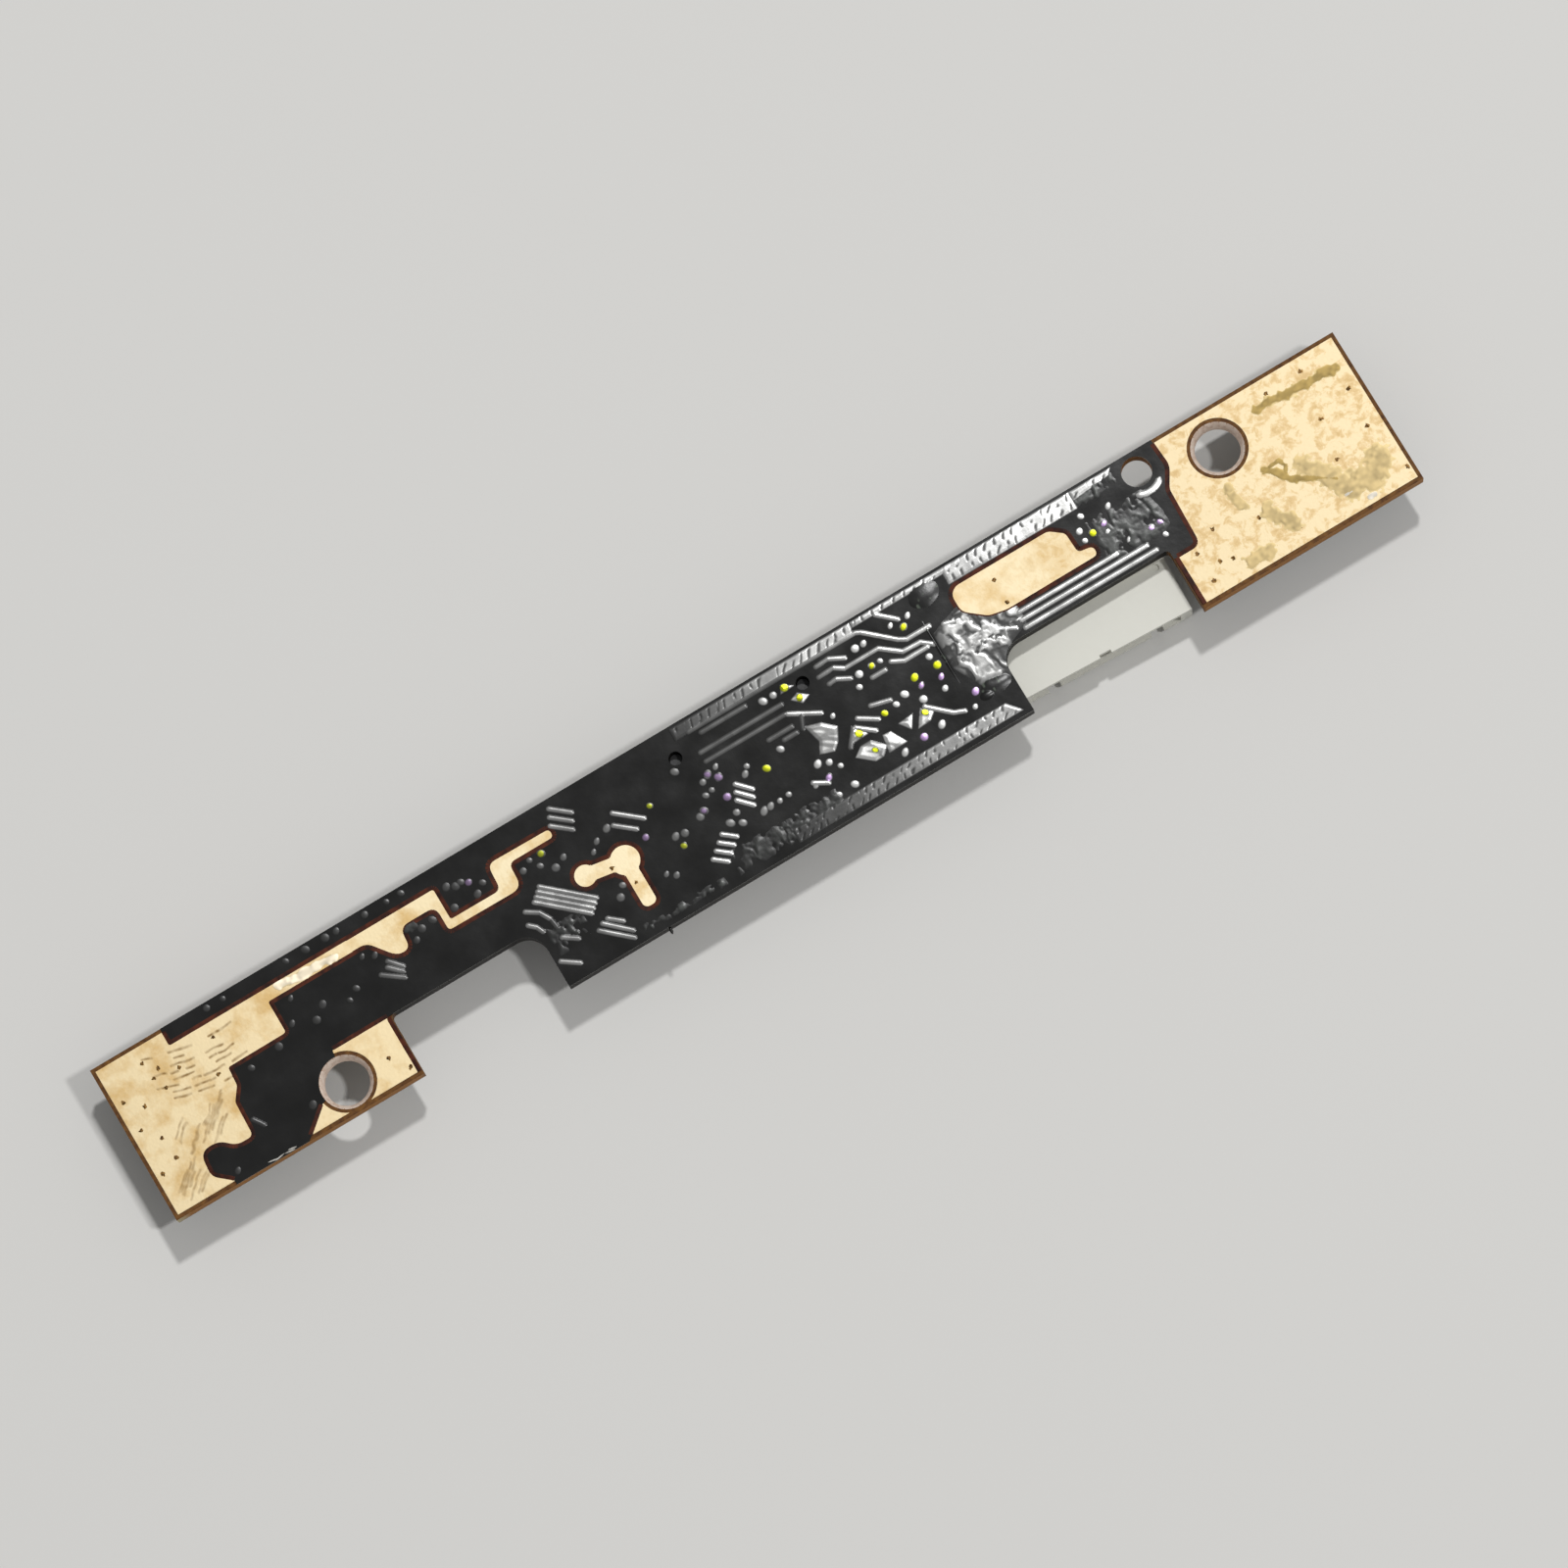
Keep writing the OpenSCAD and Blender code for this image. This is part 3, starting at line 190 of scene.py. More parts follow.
background.inputs["Color"].default_value = linear("#FFFFFF")
background.inputs["Strength"].default_value = ROOM_SHARE
bpy.context.scene.world = room

# %% [markdown]
# ## Gold
# The bare lands are copper with nickel and a breath of gold from an immersion bath. The bath
# leaves a fine matt grain, so the lamp spreads into a broad glow. Handling has stained it: faint
# clouds over the left half, stronger peach-coloured blotches on the right tab.

# %% Gold
gold, tree, shader = finish("immersion_gold", "#DCC8A0", Metallic=1.0, Roughness=0.55)
place = add(tree, "TexCoord").outputs["Object"]
along = add(tree, "SeparateXYZ", {"Vector": place}).outputs["X"]
LAND_REACH = 31 * MM
span = add(tree, "MapRange", {"Value": along, "From Min": -LAND_REACH, "From Max": LAND_REACH})
# Painted light: the gold's colour is graded along the board and made lighter at the left end, where the
# lamp's reflection is weaker.
SPAN_STOPS = [(0.18, "#E4D2AB"), (0.3, "#E3D5B3"), (0.6, "#E4D6B6"), (0.75, "#D5C6A5"), (0.85, "#D1C19F")]
lamp_graded_gold = add(tree, "ValToRGB", {"Fac": span.outputs["Result"]}, stops=SPAN_STOPS)
cloud = add(tree, "TexNoise", {"Vector": place, "Scale": per_mm(1.3), "Detail": 4.0, "Roughness": 0.6})
CLOUD_STOPS = [(0.32, "#E8D7B8"), (0.56, "#FFFFFF")]
clouds = add(tree, "ValToRGB", {"Fac": cloud.outputs["Fac"]}, stops=CLOUD_STOPS)
ragged_noise = {"Vector": place, "Scale": per_mm(0.5), "Detail": 6.0, "Roughness": 0.65, "Distortion": 0.4}
blotch = add(tree, "TexNoise", ragged_noise)
BLOTCH_STOPS = [(0.34, "#E4D6BE"), (0.44, "#F2E8D8"), (0.52, "#FFFFFF")]
blotches = add(tree, "ValToRGB", {"Fac": blotch.outputs["Fac"]}, stops=BLOTCH_STOPS)
STAIN_FROM, STAIN_TO = 11 * MM, 20 * MM
right_tab = add(tree, "MapRange", {"Value": along, "From Min": STAIN_FROM, "From Max": STAIN_TO})
# A Mix node of colours takes its factor at socket 0 and its two colours at sockets 6 and 7.
both = {0: right_tab.outputs["Result"], 6: clouds.outputs["Color"], 7: blotches.outputs["Color"]}
stained = add(tree, "Mix", both, data_type="RGBA")
both = {0: 1.0, 6: lamp_graded_gold.outputs["Color"], 7: stained.outputs[2]}
clean = add(tree, "Mix", both, data_type="RGBA", blend_type="MULTIPLY")
wear = add(tree, "Attribute", attribute_name="lustre")
WORN_BROWN = "#7E5C2A"
both = {0: wear.outputs["Fac"], 6: clean.outputs[2], 7: linear(WORN_BROWN)}
handled = add(tree, "Mix", both, data_type="RGBA")
grain = add(tree, "TexNoise", {"Vector": place, "Scale": per_mm(0.14), "Detail": 3.0})
bump = add(tree, "Bump", {"Height": grain.outputs["Fac"], "Strength": 0.25, "Distance": 0.012 * MM})
join(shader, {"Base Color": handled.outputs[2], "Normal": bump.outputs["Normal"]})
FINISHES["gold_plate"] = gold
print("finish", gold.name)

# %% [markdown]
# ## Black solder mask
# A lacquer some tens of microns thick, cured to a gloss. Level lacquer mirrors the dim room and
# looks black. Only where it swells over copper does a slope face the lamp.

# %% Black solder mask
MASK_COLOUR = "#0F0F0E"
mask, tree, shader = finish("black_solder_mask", MASK_COLOUR, Roughness=0.16, IOR=1.5)
place = add(tree, "TexCoord").outputs["Object"]
haze = add(tree, "TexNoise", {"Vector": place, "Scale": per_mm(1.6), "Detail": 3.0})
gloss = add(tree, "MapRange", {"Value": haze.outputs["Fac"], "To Min": 0.1, "To Max": 0.3})
peel = add(tree, "TexNoise", {"Vector": place, "Scale": per_mm(0.35), "Detail": 3.0, "Roughness": 0.55})
bump = add(tree, "Bump", {"Height": peel.outputs["Fac"], "Strength": 0.2, "Distance": 0.015 * MM})
join(shader, {"Roughness": gloss.outputs["Result"], "Normal": bump.outputs["Normal"]})
FINISHES["black_mask"] = mask
print("finish", mask.name)

# %% [markdown]
# ## Glass-fibre laminate
# Woven glass in epoxy, routed to shape. Its faces look like amber resin. The cut walls are amber
# at the tabs, pale at the left end, and black along the middle, where lacquer ran over the edge.

# %% Glass-fibre laminate
laminate, tree, shader = finish("glass_fibre_laminate", "#7A5527", Roughness=0.6, Specular_IOR_Level=0.2)
place = add(tree, "TexCoord").outputs["Object"]
along = add(tree, "SeparateXYZ", {"Vector": place}).outputs["X"]
WALL_REACH = 31.1 * MM
span = add(tree, "MapRange", {"Value": along, "From Min": -WALL_REACH, "From Max": WALL_REACH})
# Shares of the length: the pale left end, the amber left tab, the black middle, the amber right tab.
WALL_STOPS = [
    (0.004, "#B5A883"),
    (0.012, "#9A641C"),
    (0.197, "#9A641C"),
    (0.201, "#14110D"),
    (0.821, "#14110D"),
    (0.823, "#9A641C"),
]
walls = add(tree, "ValToRGB", {"Fac": span.outputs["Result"]}, stops=WALL_STOPS)
normal = add(tree, "NewGeometry").outputs["Normal"]
upward = add(tree, "SeparateXYZ", {"Vector": normal}).outputs["Z"]
either_way = add(tree, "Math", {0: upward}, operation="ABSOLUTE")
flatness = add(tree, "MapRange", {"Value": either_way.outputs[0], "From Min": 0.75, "From Max": 0.95})
weave = add(tree, "TexNoise", {"Vector": place, "Scale": per_mm(0.25), "Detail": 3.0})
RESIN_STOPS = [(0.3, "#4E2E12"), (0.7, "#7A5222")]
resin = add(tree, "ValToRGB", {"Fac": weave.outputs["Fac"]}, stops=RESIN_STOPS)
both = {0: flatness.outputs["Result"], 6: walls.outputs["Color"], 7: resin.outputs["Color"]}
tint = add(tree, "Mix", both, data_type="RGBA")
bump = add(tree, "Bump", {"Height": weave.outputs["Fac"], "Strength": 0.6, "Distance": 0.03 * MM})
join(shader, {"Base Color": tint.outputs[2], "Normal": bump.outputs["Normal"]})
FINISHES["laminate"] = laminate
print("finish", laminate.name)

# %% [markdown]
# ## Finishes of the front
# The lens side is plain industrial stuff: black moulded plastic, epoxy packages, tin-plated
# leads, fired ceramics and a stamped can. Each gets its typical gloss and a fine grain.

# %% Finishes of the front
# Slot, material, colour, roughness, metallic share, grain in mm.
FRONT_ROWS = [
    ("black_plastic", "moulded_polycarbonate", "#1B1B1D", 0.45, 0.0, 0.1),
    ("chip_epoxy", "moulded_epoxy", "#232427", 0.55, 0.0, 0.08),
    ("silicon", "polished_silicon", "#3A3340", 0.15, 0.0, 0.3),
    ("solder", "tin_plate", "#C3C6C8", 0.32, 1.0, 0.12),
    ("brown_ceramic", "fired_alumina", "#6E5F55", 0.6, 0.0, 0.06),
    ("nickel_lid", "nickel_plate", "#D2CFC6", 0.28, 1.0, 0.25),
    ("tan_ceramic", "fired_titanate", "#A5774A", 0.5, 0.0, 0.06),
    ("ferrite", "sintered_ferrite", "#393634", 0.7, 0.0, 0.05),
    ("white_plastic", "natural_nylon", "#DDDCD2", 0.42, 0.0, 0.3),
    ("lamp_resin", "cast_clear_resin", "#E4DFC4", 0.12, 0.0, 0.4),
    ("brass_can", "drawn_brass", "#C0A66E", 0.35, 1.0, 0.15),
]
for slot, name, colour, roughness, metallic, grain_mm in FRONT_ROWS:
    made, tree, shader = finish(name, colour, Metallic=metallic)
    place = add(tree, "TexCoord").outputs["Object"]
    grit = add(tree, "TexNoise", {"Vector": place, "Scale": per_mm(grain_mm), "Detail": 3.0})
    shiny, matt = 0.75 * roughness, 1.25 * roughness
    gloss = add(tree, "MapRange", {"Value": grit.outputs["Fac"], "To Min": shiny, "To Max": matt})
    bump = add(tree, "Bump", {"Height": grit.outputs["Fac"], "Strength": 0.3, "Distance": 0.01 * MM})
    join(shader, {"Roughness": gloss.outputs["Result"], "Normal": bump.outputs["Normal"]})
    FINISHES[slot] = made
print("finishes", len(FINISHES))

# %% [markdown]
# ## Lenses and filter
# The lenses are moulded from clear plastic. The filter and the sensor's cover are polished glass.
# Both are coated, let light through and bend it, and faint smudges vary their gloss. With these the
# set is whole, and every solid gets the finish of the slot that the part's record names.

# %% Lenses and filter
# Slot, material, colour, refractive index.
OPTICAL_ROWS = [
    ("lens_plastic", "coated_lens_plastic", "#DCE4F6", 1.53),
    ("filter_glass", "coated_filter_glass", "#D6EAE8", 1.52),
]
for slot, name, colour, ior in OPTICAL_ROWS:
    made, tree, shader = finish(name, colour, IOR=ior, Transmission_Weight=1.0)
    place = add(tree, "TexCoord").outputs["Object"]
    smudge = add(tree, "TexNoise", {"Vector": place, "Scale": per_mm(0.8), "Detail": 2.0})
    gloss = add(tree, "MapRange", {"Value": smudge.outputs["Fac"], "To Min": 0.01, "To Max": 0.06})
    join(shader, {"Roughness": gloss.outputs["Result"]})
    FINISHES[slot] = made
for part in frame["record"]["subparts"]:
    solid = frame["nodes"][part["node"]]
    solid.data.materials.clear()
    solid.data.materials.append(FINISHES[part["material_slot"]])

# %% [markdown]
# ## Surfaces from grids
# Every new piece is a grid of points that numpy works out at once. A stack of grids becomes one
# mesh, and cells can be dropped, so that a field of heights keeps only what rises over the board.
# A piece can carry a colour at each point, whose fourth value says how metallic it gleams.


# %% Surfaces from grids
def surface(name, grids, finish_of, keep=None, lustre=None):
    """Meshes grids (count, rows, columns, 3) in mm: a cell is a four-sided face; keep picks cells."""
    grids = np.asarray(grids, float)
    grids = grids[None] if grids.ndim == 3 else grids
    index = np.arange(grids[..., 0].size).reshape(grids.shape[:3])
    cells = np.stack([index[:, :-1, :-1], index[:, :-1, 1:], index[:, 1:, 1:], index[:, 1:, :-1]], -1)
    cells = (cells if keep is None else cells[:, keep]).reshape(-1, 4)
    used, cells = np.unique(cells, return_inverse=True)
    mesh = bpy.data.meshes.new(name)
    mesh.from_pydata((grids.reshape(-1, 3)[used] * MM).tolist(), [], cells.reshape(-1, 4).tolist())
    mesh.polygons.foreach_set("use_smooth", np.ones(len(mesh.polygons), bool))
    mesh.materials.append(finish_of)
    if lustre is not None:
        tones = mesh.attributes.new("lustre", "FLOAT_COLOR", "POINT")
        tones.data.foreach_set("color", lustre.reshape(-1, 4)[used].ravel())
    made = bpy.data.objects.new(name, mesh)
    bpy.context.scene.collection.objects.link(made)
    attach(made, "root")
    print(name, "faces", len(mesh.polygons))
    return made


def revolved(profile, centres, steps=32):
    """Grids of a profile of radius and height turned about upright axes at the centres."""
    profile, centres = np.asarray(profile, float), np.asarray(centres, float)
    turn = np.linspace(0, 2 * np.pi, steps + 1)
    ring = np.stack([np.cos(turn), np.sin(turn)], -1)
    flat = profile[None, :, None, :1] * ring[None, None] + centres[:, None, None, :2]
    level = np.broadcast_to(profile[None, :, None, 1:], flat.shape[:3] + (1,))
    return np.concatenate([flat, level], -1)


def ribbons(paths, width, foot, rise):
    """Grids of low ridges along paths (count, points, 2): full width in the middle, pointed ends."""
    ahead = np.gradient(paths, axis=1)
    ahead /= np.linalg.norm(ahead, axis=-1, keepdims=True)
    side = np.stack([-ahead[..., 1], ahead[..., 0]], -1)
    blunt_tip = 0.02
    bulge = np.sin(np.linspace(0, np.pi, paths.shape[1])) + blunt_tip
    half = 0.5 * width * np.sqrt(bulge)[None, :, None, None]
    across = np.array([1.0, 0.0, -1.0])[None, None, :, None]
    flat = paths[:, :, None, :] + side[:, :, None, :] * across * half
    level = np.broadcast_to(foot + rise * (1 - np.abs(across)), flat.shape[:3] + (1,))
    return np.concatenate([flat, level], -1)


def lumps(x, y, size, seed):
    """Smooth random field of 0 to 1 with lumps of this size: random corner values, eased between."""
    lattice = 256
    corner = np.random.default_rng(seed).random((lattice + 1, lattice + 1))
    u, v = np.mod(x / size, lattice), np.mod(y / size, lattice)
    i, j = u.astype(int), v.astype(int)
    s, t = u - i, v - j
    s, t = s * s * (3 - 2 * s), t * t * (3 - 2 * t)
    low = corner[j, i] * (1 - s) + corner[j, i + 1] * s
    high = corner[j + 1, i] * (1 - s) + corner[j + 1, i + 1] * s
    return low * (1 - t) + high * t


def ease(value, start, end):
    """Rises smoothly from 0 at the start to 1 at the end."""
    t = np.clip((value - start) / (end - start), 0, 1)
    return t * t * (3 - 2 * t)


print("eased at a quarter of the way", float(ease(0.25, 0, 1)))

# %% [markdown]
# ## Places on the board
# The artwork is laid out in shares of the board's five sections, from the left tab to the right
# one. A share of 0 to 1 along and across a section gives a place in millimetres.

# %% Places on the board
board_low, board_high = (np.array(corner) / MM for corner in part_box("board"))
mask_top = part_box("back_mask")[1].z / MM
gold_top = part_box("back_copper")[1].z / MM
LEFT_TAB, LEFT_NECK, BODY, RIGHT_NECK, RIGHT_TAB = range(5)
SECTION_ENDS = np.array([board_low[0], -18.75, -11.55, 11.55, 20.05, board_high[0]])
SECTION_LOWS = np.array([board_low[1], -0.85, board_low[1], -0.75, board_low[1]])
LEFT_HOLE, RIGHT_HOLE, TOOL_HOLE = np.array([[-21.8, -2.35], [24.15, 1.95], [20.65, 2.875]])


def spot(section, shares):
    """Places in mm at shares along and across a section, the last axis holding the two shares."""
    shares = np.asarray(shares, float)
    start, end, low = SECTION_ENDS[section], SECTION_ENDS[section + 1], SECTION_LOWS[section]
    x = start + shares[..., 0] * (end - start)
    y = low + shares[..., 1] * (board_high[1] - low)
    return np.stack([x, y], -1)


print("mask top", round(mask_top, 3), "gold top", round(gold_top, 3))

# %% [markdown]
# ## Tracks under the mask
# Etched strips of copper lead from chip to chip under the mask. A path is a row of corners, as
# shares of its section, and a bundle repeats one path at an even step.


# %% Tracks under the mask
def bundle(path, step, count):
    """The path and its copies, each one step further."""
    return [(np.array(path) + i * np.array(step)).tolist() for i in range(count)]


TRACKS = {
    LEFT_TAB: [[[0.405, 0.275], [0.43, 0.215]]],
    LEFT_NECK: [[[0.075, 0.37], [0.19, 0.235]], [[0.13, 0.4], [0.2, 0.29]], [[0.15, 0.45], [0.215, 0.335]]],
    BODY: bundle([[0.135, 0.945], [0.168, 0.86]], [-0.007, -0.045], 3)
    + bundle([[0.046, 0.585], [0.127, 0.36]], [-0.0075, -0.021], 4)
    + bundle([[0.455, 0.515], [0.478, 0.44]], [-0.0065, -0.042], 3)
    + bundle([[0.386, 0.305], [0.408, 0.25]], [-0.0125, -0.033], 4)
    + [
        [[0.232, 0.735], [0.278, 0.615]],
        [[0.222, 0.67], [0.256, 0.583]],
        [[0.035, 0.265], [0.06, 0.212]],
        [[0.01, 0.15], [0.04, 0.085]],
        [[0.125, 0.225], [0.148, 0.165]],
        [[0.112, 0.215], [0.155, 0.09]],
        [[0.1, 0.19], [0.15, 0.05]],
        [[0, 0.5], [0.022, 0.455], [0.034, 0.39], [0.037, 0.33]],
        [[-0.008, 0.425], [0.004, 0.39], [0.01, 0.35]],
        [[0.43, 0.775], [0.605, 0.775]],
        [[0.43, 0.715], [0.6, 0.715]],
        [[0.45, 0.875], [0.545, 0.875]],
        [[0.55, 0.635], [0.6, 0.635]],
        [[0.575, 0.59], [0.602, 0.59]],
        [[0.605, 0.71], [0.66, 0.615]],
        [[0.627, 0.67], [0.615, 0.59]],
        [[0.58, 0.29], [0.605, 0.245]],
        [[0.695, 0.44], [0.673, 0.355]],
        [[0.7, 0.44], [0.73, 0.365]],
        [[0.712, 0.48], [0.745, 0.415]],
        [[0.695, 0.86], [0.722, 0.865], [0.75, 0.82]],
        [[0.7, 0.735], [0.716, 0.74], [0.74, 0.7]],
        [
            [0.69, 0.8], [0.722, 0.805], [0.74, 0.768], [0.812, 0.768],
            [0.848, 0.68], [0.885, 0.675], [0.906, 0.622],
        ],
        [[0.43, 0.915], [0.79, 0.915], [0.8, 0.9], [0.852, 0.755], [0.866, 0.73], [0.915, 0.73]],
        [[0.84, 0.945], [0.872, 0.855]],
        [[0.82, 0.665], [0.842, 0.63], [0.892, 0.63]],
        [[0.94, 0.695], [0.957, 0.68], [0.985, 0.62]],
        [[0.775, 0.64], [0.803, 0.64]],
        [[0.745, 0.505], [0.782, 0.475]],
        [[0.83, 0.34], [0.87, 0.225], [0.89, 0.2]],
    ],
    RIGHT_NECK: [
        [[0.19, 0.22], [0.77, 0.22]],
        [[0.18, 0.14], [0.92, 0.14]],
        [[0.18, 0.058], [0.95, 0.058]],
        [[0.01, 0.22], [0.07, 0.17], [0.14, 0.1]],
    ],
}
print("tracks", sum(map(len, TRACKS.values())))

# %% [markdown]
# ## Vias under the mask
# A via is a small plated hole that leads from one side of the board to the other. The mask tents it over.
# Some carry a painted coloured glint, which tints their gleam yellow or violet.

# %% Vias under the mask
VIAS = {
    LEFT_TAB: [
        [0.46, 0.965], [0.525, 0.965], [0.78, 0.965], [0.86, 0.965], [0.94, 0.965], [0.985, 0.965],
        [0.73, 0.765], [0.69, 0.635], [0.815, 0.64], [0.77, 0.58], [0.945, 0.62], [0.905, 0.58],
        [0.49, 0.535], [0.61, 0.56], [0.61, 0.17], [0.27, 0.065],
    ],
    LEFT_NECK: [
        [0.17, 0.94], [0.32, 0.94], [0.42, 0.94], [0.5, 0.57], [0.42, 0.55], [0.36, 0.48], [0.03, 0.61],
        [0.1, 0.56], [0.67, 0.77], [0.72, 0.73], [0.76, 0.74], [0.8, 0.7], [0.87, 0.63], [0.65, 0.56],
        [0.81, 0.56],
    ],
    BODY: [
        [0.035, 0.71], [0.055, 0.745], [0.067, 0.685], [0.08, 0.745], [0.09, 0.63], [0.112, 0.66],
        [0.165, 0.595], [0.18, 0.64], [0.208, 0.675], [0.165, 0.29], [0.18, 0.345], [0.262, 0.515],
        [0.298, 0.66], [0.328, 0.42], [0.31, 0.43], [0.315, 0.36], [0.26, 0.27], [0.275, 0.235],
        [0.368, 0.455], [0.38, 0.475], [0.397, 0.545], [0.412, 0.555], [0.405, 0.62], [0.42, 0.645],
        [0.435, 0.6], [0.44, 0.66], [0.43, 0.475], [0.43, 0.37], [0.41, 0.335], [0.43, 0.3],
        [0.49, 0.57], [0.52, 0.5], [0.48, 0.535], [0.475, 0.295], [0.49, 0.3], [0.51, 0.3], [0.53, 0.305],
        [0.56, 0.555], [0.578, 0.845], [0.6, 0.845], [0.675, 0.565], [0.582, 0.27], [0.61, 0.27],
        [0.605, 0.37], [0.625, 0.345], [0.64, 0.295], [0.61, 0.155], [0.645, 0.16],
        [0.775, 0.835], [0.793, 0.835], [0.853, 0.845], [0.89, 0.845], [0.873, 0.8], [0.757, 0.695],
        [0.785, 0.7], [0.803, 0.7], [0.745, 0.63], [0.842, 0.515], [0.89, 0.51], [0.845, 0.455],
        [0.885, 0.44], [0.88, 0.37], [0.835, 0.38], [0.81, 0.46], [0.787, 0.435], [0.76, 0.425],
        [0.8, 0.19], [0.84, 0.2], [0.755, 0.17], [0.925, 0.265], [0.91, 0.19], [0.885, 0.575],
        [0.938, 0.575], [0.37, 0.755],
    ],
    RIGHT_NECK: [
        [0.665, 0.59], [0.665, 0.485], [0.71, 0.71], [0.72, 0.51], [0.79, 0.54], [0.79, 0.45],
        [0.79, 0.37], [0.855, 0.66], [0.865, 0.27], [0.985, 0.26], [1.04, 0.27], [1.03, 0.14],
    ],
}
# Vias with a painted coloured glint, yellow here and violet below.
YELLOW_GLINT_VIAS = {
    BODY: [
        [0.08, 0.745], [0.298, 0.66], [0.315, 0.36], [0.52, 0.5], [0.625, 0.85], [0.64, 0.755],
        [0.785, 0.7], [0.873, 0.8], [0.842, 0.515], [0.89, 0.51], [0.76, 0.425], [0.71, 0.27],
        [0.825, 0.31], [0.7, 0.4],
    ],
    RIGHT_NECK: [[0.72, 0.51]],
}
VIOLET_GLINT_VIAS = {
    LEFT_NECK: [[0.8, 0.7]],
    BODY: [
        [0.262, 0.515], [0.38, 0.475], [0.42, 0.645], [0.435, 0.6], [0.43, 0.475], [0.61, 0.27],
        [0.845, 0.455], [0.885, 0.44], [0.925, 0.265], [0.8, 0.19],
    ],
    RIGHT_NECK: [[0.79, 0.54], [0.985, 0.26], [1.04, 0.27]],
}
print("vias", sum(map(len, VIAS.values())))

# %% [markdown]
# ## Lacquer over copper
# Over copper the lacquer stands up as a smooth ridge and is thin on its crest, so that the metal gleams
# through it. Its colour and its metallic share come from the points of the relief, and also carry painted
# highlights of the lamp's glare.

# %% Lacquer over copper
lacquer, tree, shader = finish("lacquer_over_copper", MASK_COLOUR, Roughness=0.3, IOR=1.5)
of_point = add(tree, "Attribute", attribute_name="lustre")
place = add(tree, "TexCoord").outputs["Object"]
peel = add(tree, "TexNoise", {"Vector": place, "Scale": per_mm(0.12), "Detail": 2.0})
bump = add(tree, "Bump", {"Height": peel.outputs["Fac"], "Strength": 0.25, "Distance": 0.01 * MM})
# The point colours include painted highlights of the lamp's glare.
join(shader, {"Base Color": of_point.outputs["Color"], "Metallic": of_point.outputs["Alpha"]})
join(shader, {"Normal": bump.outputs["Normal"]})
print("finish", lacquer.name)

# %% [markdown]
# ## Field of heights
# The whole back is one field of heights on a fine grid. A form is laid over it wherever it rises
# higher than what is there, and brings its colour and its gleam along.

# %% Field of heights
STEP = 0.034
SINK = 0.006
RELIEF_H = 0.032
field_x, field_y = np.meshgrid(
    np.arange(board_low[0], board_high[0], STEP), np.arange(board_low[1], board_high[1], STEP)
)
height = np.full(field_x.shape, -SINK)
tone = np.tile(np.array(linear(MASK_COLOUR)), field_x.shape + (1,))
tone[..., 3] = 0
SILVER, YELLOW, VIOLET, GLINT_GREY = "#E8E8E6", "#D3DC28", "#B89AC8", "#8C908C"


def lay(rise, gleam, colour=SILVER, film=False):
    """Lays a form of a height in mm, a gleam of 0 to 1 and a colour; a film, such as a painted coloured
    glint, tints what is there.
    """
    chosen = rise > (0 if film else height)
    height[chosen] = np.maximum(height, rise)[chosen]
    share = np.broadcast_to(np.clip(gleam, 0, 1), field_x.shape)[chosen][:, None]
    plain, bright = np.array(linear(MASK_COLOUR)[:3]), np.array(linear(colour)[:3])
    tone[chosen, :3] = plain * (1 - share) + bright * share
    tone[chosen, 3:] = share


def away_from_run(a, b, up=field_y):
    """Distance of every field point from the straight run between two places; up can be a bent y."""
    run = b - a
    along = np.clip(((field_x - a[0]) * run[0] + (up - a[1]) * run[1]) / (run @ run), 0, 1)
    return np.hypot(field_x - a[0] - along * run[0], up - a[1] - along * run[1])


def inside_outline(corners):
    """Depth of every field point inside a closed outline, negative outside, by even-odd crossings."""
    inside = np.zeros(field_x.shape, bool)
    edge = np.full(field_x.shape, np.inf)
    for a, b in zip(corners, np.roll(corners, -1, 0)):
        edge = np.minimum(edge, away_from_run(a, b))
        spans = (a[1] > field_y) != (b[1] > field_y)
        rise = b[1] - a[1] if b[1] != a[1] else 1.0
        inside ^= spans & (field_x < a[0] + (field_y - a[1]) * (b[0] - a[0]) / rise)
    return np.where(inside, edge, -edge)


def show(what):
    """Prints how much of the field stands above the mask so far."""
    print("risen share with", what, round(float((height > 0).mean()), 3))


print("field", field_x.shape)

# %% [markdown]
# ## Ridges over tracks
# A track is a ridge over its centre line. Its gleam grows towards the right end, and on the left it shows
# only on tracks that run square to the lamp: both are painted highlights of the lamp's glare.

# %% Ridges over tracks
TRACK_W = 0.23
FAINTEST, GLARE_GAIN, FALL_OFF = 0.04, 0.7, 6
fine = lumps(field_x, field_y, 0.16, 5)
coarse = lumps(field_x, field_y, 0.4, 7)
uneven = 0.7 + 0.6 * coarse
lamp_flat = np.array(SIDE_LAMP[:2]) / np.hypot(*SIDE_LAMP[:2])
# Painted highlights: the gleam rises towards the right end, and tracks square to the lamp get a painted
# glint.
glare_to_right = ease(field_x, 2, 9)
lamp_glint_to_middle = 0.35 * ease(field_x, -24, -12) + 0.45 * ease(field_x, -8, -3)
for section, paths in TRACKS.items():
    for path in paths:
        places = spot(section, path)
        for a, b in zip(places[:-1], places[1:]):
            crest = 1 - (2 * away_from_run(a, b) / TRACK_W) ** 2
            square = abs((b - a)[0] * lamp_flat[1] - (b - a)[1] * lamp_flat[0]) / np.hypot(*(b - a))
            gleam = uneven * np.maximum(FAINTEST + GLARE_GAIN * glare_to_right, square**FALL_OFF * lamp_glint_to_middle)
            lay(RELIEF_H * crest, gleam * np.clip(crest, 0, 1) ** 0.5)
show("tracks")

# %% [markdown]
# ## Roofs over pours
# Where much current flows, the etching leaves whole areas of copper between the tracks. Such a pour
# is a low hipped roof: it slopes up from its outline and is level in the middle. The lacquer over
# it is streaked, and the copper gleams less where it is thick.

